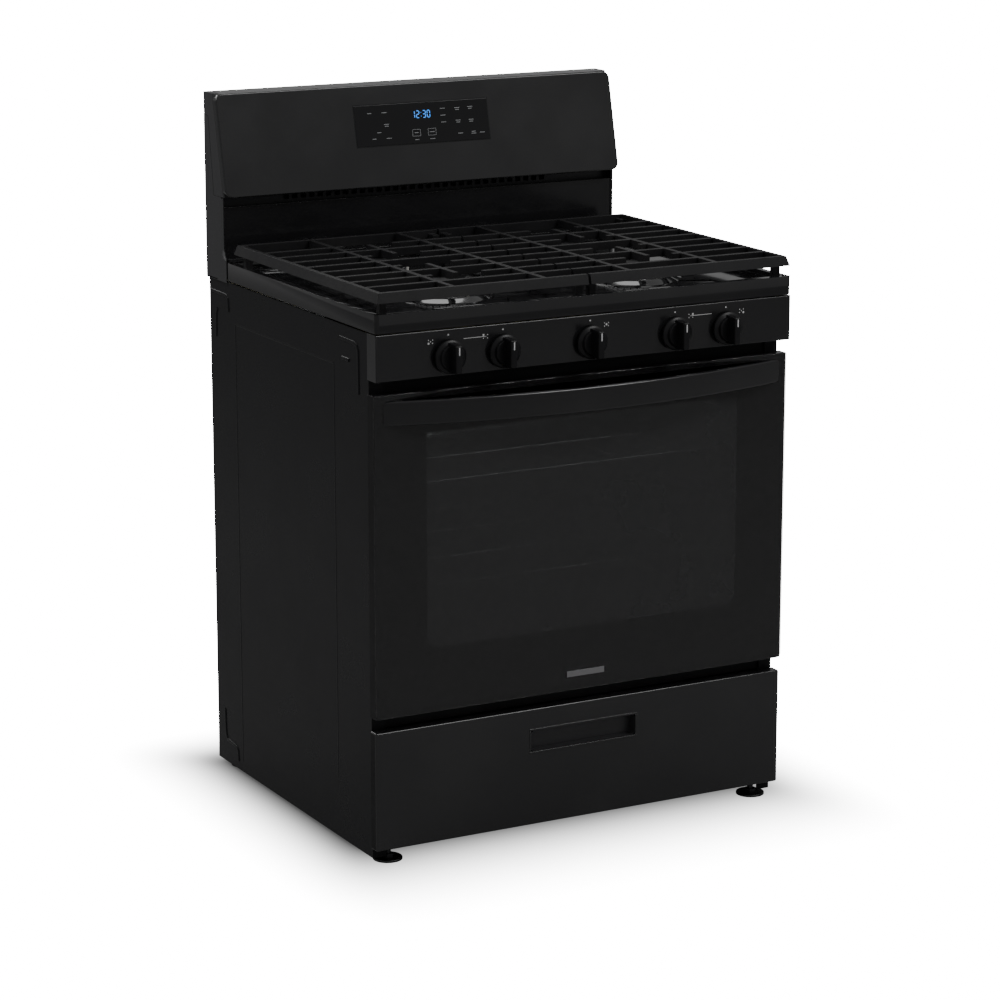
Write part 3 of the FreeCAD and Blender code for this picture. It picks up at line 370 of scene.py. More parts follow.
BRASS = metal("Machined brass", (0.62, 0.46, 0.20), 1100.0, 0.28, 0.38, 0.00003, (0.36, 0.26, 0.12)).material
BLACK_STEEL = metal("Black plated steel", (0.06, 0.06, 0.062), 1200.0, 0.30, 0.42, 0.00003).material
# Painted highlight: the rolled hems get a lighter metal so they read bright, as if catching the studio light.
HEM_PAINTED_HIGHLIGHT = metal("Rolled hem painted highlight", (0.20, 0.20, 0.205), 1200.0, 0.20, 0.28, 0.00001).material
BADGE_METAL = metal("Satin badge metal", (0.34, 0.34, 0.35), 1600.0, 0.28, 0.34, 0.00001).material
BLANKET = fibre("Glass-fibre blanket", (0.72, 0.66, 0.38), (0.52, 0.46, 0.22), 300.0)
ROPE = fibre("Woven gasket rope", (0.10, 0.10, 0.10), (0.04, 0.04, 0.04), 900.0)
BOARD = printed("Circuit board lacquer", (0.02, 0.12, 0.05))
CERAMIC = printed("White ceramic", (0.75, 0.74, 0.70))
INK = printed("White printed ink", (0.80, 0.80, 0.80))
GREY_INK = printed("Grey printed ink", (0.36, 0.37, 0.38))
DIGITS = lit_digits()


# ---------------------------------------------------------------- making pieces

def finish_mesh(bm, name, material, body, sharp=35.0):
    """Turn a bmesh into a piece: smooth faces, edges sharp past an angle, riding on its body."""
    for face in bm.faces:
        face.smooth = True
    for edge in bm.edges:
        edge.smooth = len(edge.link_faces) == 2 and edge.calc_face_angle(0.0) < math.radians(sharp)
    mesh = bpy.data.meshes.new(name)
    bm.to_mesh(mesh)
    bm.free()
    mesh.materials.append(material)
    piece = bpy.data.objects.new(name, mesh)
    bpy.context.scene.collection.objects.link(piece)
    flatter = piece.modifiers.new("Weighted normals", "WEIGHTED_NORMAL")
    flatter.keep_sharp, flatter.weight = True, 80
    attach(piece, body)
    return piece


def bevelled(bm, edges, width, segments=2):
    bmesh.ops.bevel(bm, geom=list(edges), offset=width, segments=segments, affect="EDGES", profile=0.5,
                    material=-1, clamp_overlap=True)


def copied(node):
    """A CAD node's own shape with its doubles merged and its flat faces joined up."""
    bm = bmesh.new()
    bm.from_mesh(frame["nodes"][node].data)
    bmesh.ops.remove_doubles(bm, verts=bm.verts, dist=0.00001)
    bmesh.ops.dissolve_limit(bm, angle_limit=math.radians(1.0), verts=bm.verts, edges=bm.edges)
    return bm


def crisp_edges(bm, angle=50.0):
    return [edge for edge in bm.edges
            if len(edge.link_faces) == 2 and edge.calc_face_angle(0.0) > math.radians(angle)]


def softened(node, material, width=0.0008, segments=2, shape=None):
    """The CAD shape with its sharp edges rounded, standing for the node."""
    bm = copied(node)
    if shape is not None:
        shape(bm)
    if width:
        bevelled(bm, crisp_edges(bm), width, segments)
    piece = finish_mesh(bm, f"{node}_made", material, BODY_OF[node])
    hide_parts(node)
    return piece


def shaded_sides(piece):
    """Painted shade: the faces that look sideways into the gap beside a front take the dull dark paint in
    place of the front's own finish.
    """
    piece.data.materials.append(PAINTED_SHADE_BLACK)
    for face in piece.data.polygons:
        if abs(face.normal.x) > 0.98:
            face.material_index = 1


def round_corners(bm):
    """The large radius at the four corners of a front."""
    reach = max(abs(vert.co.x) for vert in bm.verts)
    top, bottom = max(vert.co.z for vert in bm.verts), min(vert.co.z for vert in bm.verts)
    corners = [edge for edge in bm.edges
               if all(abs(abs(vert.co.x) - reach) < 0.0002
                      and min(top - vert.co.z, vert.co.z - bottom) < 0.0002
                      for vert in edge.verts)
               and abs(edge.verts[0].co.y - edge.verts[1].co.y) > 0.001]
    bevelled(bm, corners, 0.007, 5)


def box_mesh(low, high):
    """A bmesh box between two corners."""
    bm = bmesh.new()
    size = Vector(high) - Vector(low)
    bmesh.ops.create_cube(bm, size=1.0)
    bmesh.ops.scale(bm, vec=size, verts=bm.verts)
    bmesh.ops.translate(bm, vec=Vector(low) + size / 2, verts=bm.verts)
    return bm


def joined(name, material, body, meshes, sharp=35.0):
    """Several bmeshes as one piece."""
    whole = bmesh.new()
    for bm in meshes:
        mesh = bpy.data.meshes.new("part")
        bm.to_mesh(mesh)
        bm.free()
        whole.from_mesh(mesh)
        bpy.data.meshes.remove(mesh)
    return finish_mesh(whole, name, material, body, sharp)


def extruded(outline, low, high):
    """A plate cut to an outline in the YZ plane, between two places across."""
    bm = bmesh.new()
    face = bm.faces.new([bm.verts.new((low, depth, level)) for depth, level in outline])
    grown = bmesh.ops.extrude_face_region(bm, geom=[face])
    moved = [item for item in grown["geom"] if isinstance(item, bmesh.types.BMVert)]
    bmesh.ops.translate(bm, vec=(high - low, 0, 0), verts=moved)
    bmesh.ops.recalc_face_normals(bm, faces=bm.faces)
    return bm


def ridge(points, across, radius, flatness=0.45):
    """A half-round ridge along a line of depths and levels, on a sheet that faces sideways."""
    curve = bpy.data.curves.new("ridge", "CURVE")
    curve.dimensions = "3D"
    curve.bevel_depth, curve.bevel_resolution, curve.use_fill_caps = radius, 2, True
    spline = curve.splines.new("POLY")
    spline.points.add(len(points) - 1)
    for spot, (depth, level) in zip(spline.points, points):
        spot.co = (0.0, depth, level, 1.0)
    holder = bpy.data.objects.new("ridge", curve)
    mesh = bpy.data.meshes.new_from_object(holder)
    bpy.data.objects.remove(holder)
    bm = bmesh.new()
    bm.from_mesh(mesh)
    bpy.data.meshes.remove(mesh)
    bmesh.ops.remove_doubles(bm, verts=bm.verts, dist=0.00001)
    bmesh.ops.scale(bm, vec=(flatness, 1.0, 1.0), verts=bm.verts)
    bmesh.ops.translate(bm, vec=(across, 0, 0), verts=bm.verts)
    bmesh.ops.recalc_face_normals(bm, faces=bm.faces)
    return bm


# ---------------------------------------------------------------- body, cooktop and grates

def cooktop():
    """The pressed pan: a soft rolled rim, a sunken well and a raised ring round each burner."""
    low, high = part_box("cooktop")
    rim, well = 0.012, 0.012
    bm = box_mesh(low, high)
    bmesh.ops.delete(bm, geom=[face for face in bm.faces if face.normal.z < -0.5], context="FACES_ONLY")
    upright = [edge for edge in bm.edges if abs(edge.verts[0].co.z - edge.verts[1].co.z) > 0.01]
    bevelled(bm, upright, 0.006, 4)
    top = [face for face in bm.faces if face.normal.z > 0.5]
    inner = bmesh.ops.inset_region(bm, faces=top, thickness=rim, use_even_offset=True)
    floor = [face for face in bm.faces if face.normal.z > 0.5 and face not in inner["faces"]]
    sunk = bmesh.ops.extrude_face_region(bm, geom=floor)
    bmesh.ops.delete(bm, geom=floor, context="FACES_ONLY")
    moved = [item for item in sunk["geom"] if isinstance(item, bmesh.types.BMVert)]
    bmesh.ops.translate(bm, vec=(0, 0, -well), verts=moved)
    bmesh.ops.recalc_face_normals(bm, faces=bm.faces)
    bevelled(bm, [edge for edge in crisp_edges(bm) if not edge.is_boundary], 0.0045, 4)
    piece = finish_mesh(bm, "cooktop_pan", COOKTOP_ENAMEL, BODY_OF["cooktop"], 50.0)
    skin = piece.modifiers.new("Sheet thickness", "SOLIDIFY")
    skin.thickness, skin.offset = 0.0014, 1.0
    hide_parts("cooktop")
    floor_level = high.z - well
    rings = [burner_ring(across, depth, floor_level) for across, depth in BURNERS]
    joined("burner_rings", COOKTOP_ENAMEL, BODY_OF["cooktop"], rings, 60.0)


def burner_ring(across, depth, level):
    """The raised ring pressed into the well round a burner."""
    bm = bmesh.new()
    profile = ((0.054, 0.0), (0.058, 0.0024), (0.061, 0.0050), (0.064, 0.0062),
               (0.067, 0.0060), (0.070, 0.0050), (0.080, 0.0010), (0.084, 0.0))
    verts = [bm.verts.new((radius, 0.0, rise)) for radius, rise in profile]
    edges = [bm.edges.new(pair) for pair in zip(verts, verts[1:])]
    bmesh.ops.spin(bm, geom=verts + edges, cent=(0, 0, 0), axis=(0, 0, 1), angle=math.tau, steps=56,
                   use_merge=True)
    bmesh.ops.remove_doubles(bm, verts=bm.verts, dist=0.00001)
    bmesh.ops.translate(bm, vec=(across, depth, level), verts=bm.verts)
    for face in bm.faces:
        face.normal_update()
        if face.normal.z < 0:
            face.normal_flip()
    return bm


BURNERS = ((-0.177, -0.126), (-0.177, 0.088), (0.0, -0.020), (0.177, 0.088), (0.177, -0.126))


def lean_rails(bm):
    """Lean the outer faces of the grate's rails inwards towards the top."""
    top = max(vert.co.z for vert in bm.verts)
    outer = max(abs(vert.co.x) for vert in bm.verts)
    front, rear = min(vert.co.y for vert in bm.verts), max(vert.co.y for vert in bm.verts)
    for vert in bm.verts:
        if top - vert.co.z > 0.0001:
            continue
        if outer - abs(vert.co.x) < 0.0001:
            vert.co.x -= math.copysign(0.005, vert.co.x)
        if vert.co.y - front < 0.0001:
            vert.co.y += 0.005
        if rear - vert.co.y < 0.0001:
            vert.co.y -= 0.005


SIDE_FACE = 0.376


def side_beads():
    """The beads pressed into both side panels: corner beads and a faint inner rectangle."""
    beads = (((-0.165, 0.8400), (-0.214, 0.8395), (-0.2255, 0.8365), (-0.2305, 0.8270), (-0.2310, 0.7600)),
             ((-0.172, 0.8085), (-0.198, 0.8085)),
             ((0.336, 0.8386), (0.275, 0.8383), (0.2670, 0.8340), (0.2645, 0.8120)),
             ((0.311, 0.8110), (0.3155, 0.8020), (0.3170, 0.7620)),
             ((0.3106, 0.1030), (0.3085, 0.0600), (0.3026, 0.0490), (0.2640, 0.0454), (0.2580, 0.0400),
              (0.2566, 0.0223)))
    creases = (((0.238, 0.0270), (0.238, 0.7940)), ((-0.142, 0.1070), (-0.142, 0.7940)),
               ((0.238, 0.7945), (-0.142, 0.7945)))
    for side in ("left", "right"):
        across = -SIDE_FACE if side == "left" else SIDE_FACE
        raised = [ridge(points, across, 0.0032, 0.55) for points in beads]
        raised += [ridge(points, across, 0.0016, 0.25) for points in creases]
        joined(f"{side}_side_beads", SIDE_PAINT, BODY_OF[f"{side}_side_panel"], raised)


def backguard_cover():
    """Folded side walls that flare out to the cooktop, a back sheet and a bottom sheet."""
    low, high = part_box("backguard_cover")
    sheet, flare, hems = 0.0015, 0.0165, []
    front, step, rear = low.y, low.y + 0.0175, high.y
    foot, ledge = 0.8975, 1.0037
    outline = [(front, low.z), (rear, low.z), (rear, high.z), (rear - 0.018, high.z - 0.004),
               (rear - 0.036, ledge), (step, ledge), (step, foot), (front, foot)]
    meshes = []
    for inner, outer in ((low.x, low.x + sheet), (high.x - sheet, high.x)):
        wall = extruded(outline, inner, outer)
        corner = [edge for edge in wall.edges
                  if all(abs(vert.co.y - step) < 0.0001 and abs(vert.co.z - foot) < 0.0001
                         for vert in edge.verts)]
        bevelled(wall, corner, flare, 6)
        meshes.append(wall)
        hem = [(step, 1.0020), (step, 0.9150), (step - 0.0018, 0.9070), (step - 0.0065, 0.9010),
               (step - 0.0130, 0.8988), (front + 0.0010, 0.8985)]
        edge_at = inner + 0.0026 if inner < 0 else outer - 0.0026
        hems.append(ridge(hem, edge_at, 0.0026, 1.0))
    meshes.append(box_mesh((low.x, rear - 0.0014, low.z), (high.x, rear, high.z)))
    meshes.append(box_mesh((low.x, rear - 0.045, low.z + 0.001), (high.x, rear, low.z + 0.0025)))
    piece = joined("backguard_cover_made", CAP_PAINT, BODY_OF["backguard_cover"], meshes)
    # The hems carry the painted-highlight metal.
    joined("backguard_hems", HEM_PAINTED_HIGHLIGHT, BODY_OF["backguard_cover"], hems)
    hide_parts("backguard_cover")


def body_panels():
    for side in ("left", "right"):
        softened(f"{side}_side_panel", SIDE_PAINT, 0.0006)
        softened(f"{side}_grate", IRON, 0.0030, 3, shape=lean_rails)
    # The front and base frames take the dull black painted-shade paint.
    for node, material in (("control_panel", ENAMEL), ("splash_panel", ENAMEL), ("vent_grille", CAP_PAINT),
                           ("front_frame", PAINTED_SHADE_BLACK), ("base_frame", PAINTED_SHADE_BLACK),
                           ("rear_panel", ZINC_SHEET)):
        softened(node, material, 0.0004)
    side_beads()
    backguard_cover()
    for node, material in (("burner_heads", ALUMINIUM), ("burner_caps", IRON), ("spark_electrodes", CERAMIC),
                           ("pressure_regulator", ALUMINIUM), ("gas_manifold", STEEL),
                           ("gas_supply_pipe", STEEL), ("burner_valves", BRASS), ("burner_tubes", ALUMINIUM),
                           ("panel_screws", STEEL), ("lead_grommet", PLASTIC)):
        softened(node, material, 0)


# ---------------------------------------------------------------- knobs

def turned(profile, centre, steps=48):
    """A shape turned about the front-to-back axis: profile points are radius and depth from the front."""
    bm = bmesh.new()
    verts = [bm.verts.new((radius, depth, 0.0)) for radius, depth in profile]
    edges = [bm.edges.new(pair) for pair in zip(verts, verts[1:])]
    bmesh.ops.spin(bm, geom=verts + edges, cent=(0, 0, 0), axis=(0, 1, 0), angle=math.tau, steps=steps,
                   use_merge=True)
    bmesh.ops.remove_doubles(bm, verts=bm.verts, dist=0.00001)
    bmesh.ops.recalc_face_normals(bm, faces=bm.faces)
    bmesh.ops.translate(bm, vec=centre, verts=bm.verts)
    return bm


def knob(name):
    """Skirt, waisted hub and a tapered grip bar with a white index line let into its face."""
    node = f"{name}_knob"
    low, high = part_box(node)
    middle = (low + high) / 2
    back, front = high.y, low.y
    radius = (high.x - low.x) / 2
    body = BODY_OF[node]
    skirt = turned([(0.0, back), (radius - 0.001, back), (radius, back - 0.0012), (radius, back - 0.0045),
                    (radius - 0.0018, back - 0.0062), (0.0225, back - 0.0070), (0.0212, back - 0.0080),
                    (0.0205, back - 0.0120), (0.0192, back - 0.0132), (0.0, back - 0.0132)],
                   (middle.x, 0.0, middle.z))
    half_width, half_length = 0.0070, 0.0235
    grip = box_mesh((middle.x - half_width, front + 0.0002, middle.z - half_length),
                    (middle.x + half_width, back - 0.004, middle.z + half_length))
    for vert in grip.verts:
        if vert.co.y < back - 0.02:
            vert.co.x = middle.x + (vert.co.x - middle.x) * 0.80
            vert.co.z = middle.z + (vert.co.z - middle.z) * 0.94
    bevelled(grip, list(grip.edges), 0.0024, 4)
    piece = joined(f"{name}_knob_made", PLASTIC, body, [skirt, grip], 40.0)
    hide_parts(node)
    line = box_mesh((middle.x - 0.0011, front + 0.00005, middle.z + 0.007),
                    (middle.x + 0.0011, front + 0.0012, middle.z + 0.0195))
    bevelled(line, list(line.edges), 0.0002, 1)
    finish_mesh(line, f"{name}_index_line", INK, body)


def disc(centre, radius, thickness, axis_turn, steps=20):
    """A small flat disc of ink or trim."""
    bm = bmesh.new()
    bmesh.ops.create_cone(bm, cap_ends=True, segments=steps, radius1=radius, radius2=radius, depth=thickness)
    bmesh.ops.rotate(bm, verts=bm.verts, matrix=axis_turn, cent=(0, 0, 0))
    bmesh.ops.translate(bm, vec=centre, verts=bm.verts)
    return bm


FACING_FRONT = Matrix.Rotation(math.radians(90), 3, "X")


def panel_marks():
    """A dot over each knob and a burner picture beside it: a ring of dots, one of them filled."""
    low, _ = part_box("control_panel")
    face = low.y
    knobs = KNOBS
    lit_spot = {"front_left": (-1, -1), "rear_left": (-1, 1), "centre": (0, 0), "rear_right": (1, 1),
                "front_right": (1, -1)}
    body = BODY_OF["control_panel"]
    marks = []
    for name in knobs:
        centre_low, centre_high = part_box(f"{name}_knob")
        middle = (centre_low + centre_high) / 2
        marks.append(disc((middle.x, face, middle.z + 0.034), 0.0014, 0.0002, FACING_FRONT))
        beside = -0.031 if name.endswith("left") else 0.030
        for across in (-1, 0, 1):
            for up in (-1, 0, 1):
                if (across == 0) != (up == 0):
                    continue
                radius = 0.0017 if (across, up) == lit_spot[name] else 0.0009
                spot = (middle.x + beside + across * 0.0036, face, middle.z + 0.0255 + up * 0.0026)
                marks.append(disc(spot, radius, 0.0002, FACING_FRONT, 12))
    for side in (-1, 1):
        marks.append(box_mesh((side * 0.207 - 0.020, face - 0.0001, 0.8462),
                              (side * 0.207 + 0.020, face + 0.0001, 0.8470)))
    joined("panel_marks", INK, body, marks)


# ---------------------------------------------------------------- door

def door():
    body = BODY_OF["door_frame"]
    # The door's side faces get painted shade.
    shaded_sides(softened("door_frame", ENAMEL, 0.0008, 3))
    for node, material, width in (("door_inner_panel", OVEN_ENAMEL, 0.0006),
                                  ("door_gasket", ROPE, 0.0022), ("door_hinge_pins", STEEL, 0),
                                  ("door_inner_glass", CLEAR_GLASS, 0.0006),
                                  ("door_outer_glass", DOOR_GLASS, 0.0009)):
        softened(node, material, width, 3)
    softened("door_handle", ENAMEL, 0.0042, 4)
    low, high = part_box("door_outer_glass")
    half, sill, head = 0.2866, 0.3504, 0.7006
    screen = box_mesh((-half, high.y + 0.0004, sill), (half, high.y + 0.0008, head))
    screen_corners = [edge for edge in crisp_edges(screen) if edge.verts[0].co.y != edge.verts[1].co.y]
    bevelled(screen, screen_corners, 0.02, 6)
    finish_mesh(screen, "window_screen", SCREEN, body)
    plate = box_mesh((-0.035, low.y - 0.0012, 0.268), (0.035, low.y - 0.0001, 0.278))
    bevelled(plate, crisp_edges(plate), 0.0005, 2)
    finish_mesh(plate, "blank_badge", BADGE_METAL, body)


def drawer():
    # The drawer front's side faces get painted shade.
    shaded_sides(softened("drawer_front", ENAMEL, 0.0012, 3, shape=round_corners))
    for node, material, width in (("drawer_tray", ZINC_SHEET, 0.0004),
                                  ("drawer_rails", STEEL, 0.0004), ("broiler_pan", OVEN_ENAMEL, 0.0006)):
        softened(node, material, width)
    pocket_pull()


def pocket_pull():
    """A pressed lip round the pocket pull and the dark cup behind it."""
    body = BODY_OF["drawer_front"]
    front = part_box("drawer_front")[0].y
    half, sill, head, lip, proud = 0.098, 0.150, 0.185, 0.0035, 0.0009
    bars = (((-half - lip, sill - lip), (half + lip, sill)), ((-half - lip, head), (half + lip, head + lip)),
            ((-half - lip, sill), (-half, head)), ((half, sill), (half + lip, head)))
    rims = []
    for (left, bottom), (right, top) in bars:
        rim = box_mesh((left, front - proud, bottom), (right, front + 0.0006, top))
        leading = [edge for edge in rim.edges if all(vert.co.y < front for vert in edge.verts)]
        bevelled(rim, leading, 0.0007, 2)
        rims.append(rim)
    joined("pocket_lip", ENAMEL, body, rims)
    cup = box_mesh((-half + 0.0003, front + 0.0004, sill + 0.0003),
                   (half - 0.0003, front + 0.0170, head - 0.0003))
    upright = [edge for edge in cup.edges if abs(edge.verts[0].co.y - edge.verts[1].co.y) > 0.01]
    bevelled(cup, upright, 0.006, 4)
    opening = [face for face in cup.faces if face.normal.y < -0.9]
    bmesh.ops.delete(cup, geom=opening, context="FACES")
    bmesh.ops.reverse_faces(cup, faces=cup.faces)
    piece = finish_mesh(cup, "pocket_cup", CAP_PAINT, body, 50.0)
    skin = piece.modifiers.new("Sheet thickness", "SOLIDIFY")
    skin.thickness, skin.offset = 0.0002, -1.0


def oven():
    for node, material, width in (("oven_liner", OVEN_ENAMEL, 0.0004), ("oven_floor", OVEN_ENAMEL, 0.0003),
                                  ("bake_burner", STEEL, 0), ("oven_insulation", BLANKET, 0.004),
                                  ("oven_flue", ZINC_SHEET, 0.0004), ("rack_guides", BRIGHT_WIRE, 0),
                                  ("upper_oven_rack", BRIGHT_WIRE, 0), ("lower_oven_rack", BRIGHT_WIRE, 0),
                                  ("hinge_arms", STEEL, 0.0004)):
        softened(node, material, width)


def small_parts():
    for name in ("front_left", "rear_left", "front_right", "rear_right"):
        softened(f"{name}_foot", BLACK_STEEL, 0.0004)
    for name in KNOBS:
        softened(f"{name}_valve_stem", STEEL, 0.0003)


# ---------------------------------------------------------------- console

CONSOLE_LOW, CONSOLE_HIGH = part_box("console_panel")
GLASS_LOW, GLASS_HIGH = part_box("control_glass")
LEAN_DEPTH = 0.039
LEAN = math.atan2(LEAN_DEPTH, CONSOLE_HIGH.z - CONSOLE_LOW.z)


def on_slope(bm, across, level, proud):
    """Lay a mesh, drawn flat and facing the front, on the sloping face of the console."""
    turn = Matrix.Rotation(-LEAN, 3, "X")
    bmesh.ops.rotate(bm, verts=bm.verts, matrix=turn, cent=(0, 0, 0))
    depth = CONSOLE_LOW.y + (level - CONSOLE_LOW.z) * math.tan(LEAN)
    outward = turn @ Vector((0, -proud, 0))
    bmesh.ops.translate(bm, vec=Vector((across, depth, level)) + outward, verts=bm.verts)
    return bm


def bar(width, height, thickness=0.0002):
    return box_mesh((-width / 2, -thickness / 2, -height / 2), (width / 2, thickness / 2, height / 2))


SEGMENTS = {"1": "bc", "2": "abged", "0": "abcdef", "3": "abgcd"}


def digit(character, across, level, height):
    """Seven-segment digit: each stroke is a thin bar."""
    width, stroke = height * 0.44, height * 0.11
    spots = {"a": (0, 1, True), "b": (1, 0.5, False), "c": (1, -0.5, False), "d": (0, -1, True),
             "e": (-1, -0.5, False), "f": (-1, 0.5, False), "g": (0, 0, True)}
    strokes = []
    for letter in SEGMENTS[character]:
        side, up, level_stroke = spots[letter]
        size = (width - stroke, stroke) if level_stroke else (stroke, height / 2 - stroke)
        strokes.append(on_slope(bar(*size), across + side * width / 2, level + up * height / 2, PROUD))
    return strokes


def outlined_key(across, level, width, height):
    """The printed outline of a touch key."""
    line = 0.0006
    sides = [on_slope(bar(width, line), across, level + side * height / 2, PROUD) for side in (-1, 1)]
    return sides + [on_slope(bar(line, height), across + side * width / 2, level, PROUD) for side in (-1, 1)]


PROUD = 0.0007
FASCIA = 0.0120


def set_back(bm):
    """Draw the front of a console part back behind the fascia."""
    for vert in bm.verts:
        slope = CONSOLE_LOW.y + (vert.co.z - CONSOLE_LOW.z) * math.tan(LEAN)
        if vert.co.y - slope < 0.0036:
            vert.co.y = max(vert.co.y, slope) + FASCIA


def fascia():
    """The full-width sloping front with large rounded corners and soft edges."""
    half = CAD_BOX[1][0]
    top_depth = CONSOLE_LOW.y + (CONSOLE_HIGH.z - CONSOLE_LOW.z) * math.tan(LEAN)
    outline = [(CONSOLE_LOW.y, CONSOLE_LOW.z), (CONSOLE_LOW.y + FASCIA, CONSOLE_LOW.z),
               (top_depth + FASCIA, CONSOLE_HIGH.z), (top_depth, CONSOLE_HIGH.z)]
    bm = extruded(outline, -half, half)
    corners = [edge for edge in bm.edges
               if abs(edge.verts[0].co.y - edge.verts[1].co.y) > 0.005
               and abs(edge.verts[0].co.z - edge.verts[1].co.z) < 0.001]
    bevelled(bm, corners, 0.013, 6)
    front = {edge for face in bm.faces if face.normal.y < -0.9 for edge in face.edges}
    bevelled(bm, front, 0.0026, 3)
    finish_mesh(bm, "console_fascia", ENAMEL, BODY_OF["console_panel"], 40.0)


KEY_PLACES = (
    (0.11, 0.20, 1), (0.22, 0.20, 1), (0.23, 0.51, 2), (0.17, 0.68, 1), (0.13, 0.83, 1), (0.24, 0.83, 1),
    (0.66, 0.18, 1), (0.66, 0.35, 1), (0.66, 0.52, 1), (0.77, 0.21, 2), (0.87, 0.20, 2), (0.77, 0.52, 2),
    (0.87, 0.52, 2), (0.78, 0.82, 1), (0.88, 0.82, 2), (0.945, 0.83, 1))


def on_glass(across, down):
    """A place on the control glass from fractions of its width and height."""
    return (GLASS_LOW.x + across * (GLASS_HIGH.x - GLASS_LOW.x),
            GLASS_HIGH.z - down * (GLASS_HIGH.z - GLASS_LOW.z))


def key_label(across, down, rows):
    """A touch key's legend: short strokes in rows, too fine to read."""
    centre, level = on_glass(across, down)
    strokes = []
    for row in range(rows):
        width = 0.0095 - 0.0020 * ((row + round(across * 100)) % 2)
        rise = (row - (rows - 1) / 2) * 0.0032
        strokes.append(on_slope(bar(width, 0.0011), centre, level + rise, PROUD))
    return strokes


def console():
    body = BODY_OF["console_panel"]
    softened("console_panel", ENAMEL, 0.0005, shape=set_back)
    softened("console_end_caps", CAP_PAINT, 0.0006, shape=set_back)
    softened("control_board", BOARD, 0.0003, shape=set_back)
    fascia()
    middle = (GLASS_LOW.z + GLASS_HIGH.z) / 2
    width, height = GLASS_HIGH.x - GLASS_LOW.x, (GLASS_HIGH.z - GLASS_LOW.z) / math.cos(LEAN)
    # Painted shade: a thin dark plate a little larger than the glass stands for the shade along the edge of
    # its recess.
    groove = on_slope(bar(width + 0.0032, height + 0.0032, 0.0004), 0.0, middle, 0.0)
    finish_mesh(groove, "glass_edge_shade", PAINTED_SHADE_BLACK, body)
    pane = bar(width, height, 0.0012)
    bevelled(pane, crisp_edges(pane), 0.0004, 2)
    glass = finish_mesh(on_slope(pane, 0.0, middle, 0.0), "control_glass_made", CONSOLE_GLASS, body)
    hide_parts("control_glass")
    clock = []
    for across, character in ((0.437, "1"), (0.471, "2"), (0.519, "3"), (0.552, "0")):
        clock += digit(character, *on_glass(across, 0.29), 0.0115)
    for down in (0.25, 0.34):
        clock.append(on_slope(bar(0.0010, 0.0010), *on_glass(0.496, down), PROUD))
    joined("clock_digits", DIGITS, body, clock)
    keys = []
    for across in (0.448, 0.565):
        keys += outlined_key(*on_glass(across, 0.74), 0.015, 0.011)
        keys += key_label(across, 0.74, 1) + key_label(across, 0.91, 1)
    for across, down, rows in KEY_PLACES:
        keys += key_label(across, down, rows)
    joined("console_legends", GREY_INK, body, keys)


# ---------------------------------------------------------------- studio

WHITE = 18.0
ROOM_LIGHT = 0.28
FLOOR_HALF = 60.0
# Where the painted contact shadow on the floor begins inside the footprint at the sides, rear and front, and
# over what distance it fades to white.
SIDE_INSET, SIDE_FADE = 0.055, 0.26
FRONT_INSET, FRONT_FADE = 0.235, 0.50


def soft_light(name, place, aim, size, power):
    data = bpy.data.lights.new(name, "AREA")
    data.shape, data.size, data.size_y, data.energy = "RECTANGLE", size[0], size[1], power
    light = bpy.data.objects.new(name, data)
    light.location = place
    light.rotation_mode = "QUATERNION"
    light.rotation_quaternion = (Vector(aim) - Vector(place)).to_track_quat("-Z", "Y")
    bpy.context.scene.collection.objects.link(light)


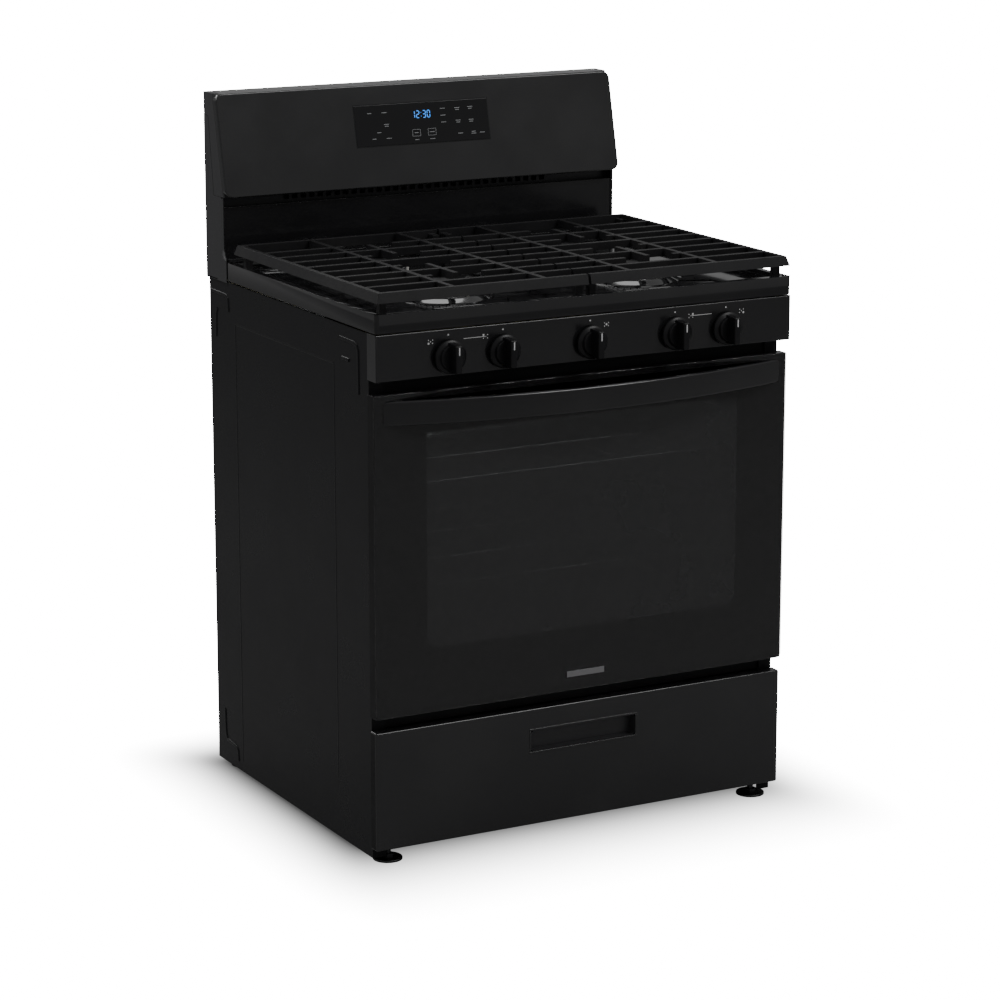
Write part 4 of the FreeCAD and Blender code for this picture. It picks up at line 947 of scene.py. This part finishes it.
def pale_floor():
    """A pale floor with a painted contact shadow under the range: the camera-only white glow fades out
    towards the footprint and is clean white away from it.
    """
    pale = Finish("Pale floor", (0.39, 0.39, 0.39))
    pale.grain(3.0, 0.6, 0.7, 0.0)
    tree = pale.tree
    parts = tree.nodes.new("ShaderNodeSeparateXYZ")
    tree.links.new(pale.place, parts.inputs[0])
    across, depth = (parts.outputs[axis] for axis in ("X", "Y"))
    half_width, half_depth = CAD_BOX[1][0], CAD_BOX[1][1]
    reach = 0.0
    sides = ((math_node(tree, "ABSOLUTE", across), half_width - SIDE_INSET, SIDE_FADE),
             (depth, half_depth - SIDE_INSET, SIDE_FADE),
             (math_node(tree, "MULTIPLY", depth, -1.0), half_depth - FRONT_INSET, FRONT_FADE))
    for place, begin, fade in sides:
        away = math_node(tree, "DIVIDE", math_node(tree, "SUBTRACT", place, begin), fade)
        away = math_node(tree, "POWER", math_node(tree, "MAXIMUM", away, 0.0), 4.0)
        reach = math_node(tree, "ADD", away, reach)
    # clear is 0 inside the painted contact shadow and 1 where the floor shows plain white.
    clear = remap(tree, math_node(tree, "POWER", reach, 0.25), 0.0, 1.0, 0.0, 1.0)
    glow = math_node(tree, "MULTIPLY", math_node(tree, "POWER", clear, 2.0), WHITE)
    path = tree.nodes.new("ShaderNodeLightPath")
    tree.links.new(math_node(tree, "MULTIPLY", glow, path.outputs["Is Camera Ray"]),
                   pale.shader.inputs["Emission Strength"])
    pale.shader.inputs["Emission Color"].default_value = (1.0, 1.0, 1.0, 1.0)
    # Painted shade: camera rays see a dark base colour (0.10) so the painted contact shadow reads dark;
    # bounce light and reflections see the paler base.
    pale.mix(path.outputs["Is Camera Ray"], (0.10, 0.10, 0.10))
    return pale.material


def studio():
    bm = bmesh.new()
    bmesh.ops.create_grid(bm, x_segments=1, y_segments=1, size=FLOOR_HALF)
    mesh = bpy.data.meshes.new("floor")
    bm.to_mesh(mesh)
    bm.free()
    floor = bpy.data.objects.new("floor", mesh)
    mesh.materials.append(pale_floor())
    bpy.context.scene.collection.objects.link(floor)
    world = bpy.data.worlds.new("Studio")
    bpy.context.scene.world = world
    world.use_nodes = True
    tree = world.node_tree
    background = tree.nodes["Background"]
    background.inputs["Color"].default_value = (1.0, 1.0, 1.0, 1.0)
    path = tree.nodes.new("ShaderNodeLightPath")
    seen = math_node(tree, "MULTIPLY", path.outputs["Is Camera Ray"], WHITE)
    tree.links.new(math_node(tree, "ADD", seen, ROOM_LIGHT), background.inputs["Strength"])
    soft_light("left box", (-1.5, 0.5, 2.3), (-0.4, 0, 0.8), (1.0, 1.0), 15)
    soft_light("front box", (1.9, -2.6, 3.9), (0, 0, 0.8), (2.0, 1.0), 62)
    soft_light("top box", (0.6, 1.6, 3.6), (0, 0, 0.9), (2.0, 1.0), 16)
    soft_light("edge box", (-1.3, 3.5, 2.8), (0, 0, 0.9), (1.6, 0.6), 14)
    soft_light("oven glow", (0.0, -0.1, 0.738), (0, 0, 0.3), (0.54, 0.36), 0.9)


def camera():
    """Stands to the left of the front and looks slightly down."""
    place, tilt, turn = (-2.6022, -4.7955, 1.810), 13.373, 28.459
    data = bpy.data.cameras.new("camera")
    data.sensor_width, data.lens = 36.0, 119.66
    data.shift_x, data.shift_y = 0.0014, -0.008
    view = bpy.data.objects.new("camera", data)
    view.location = place
    view.rotation_euler = (math.radians(90 - tilt), 0.0, math.radians(-turn))
    bpy.context.scene.collection.objects.link(view)
    bpy.context.scene.camera = view


body_panels()
cooktop()
for knob_name in KNOBS:
    knob(knob_name)
panel_marks()
door()
drawer()
oven()
small_parts()
console()
studio()
camera()
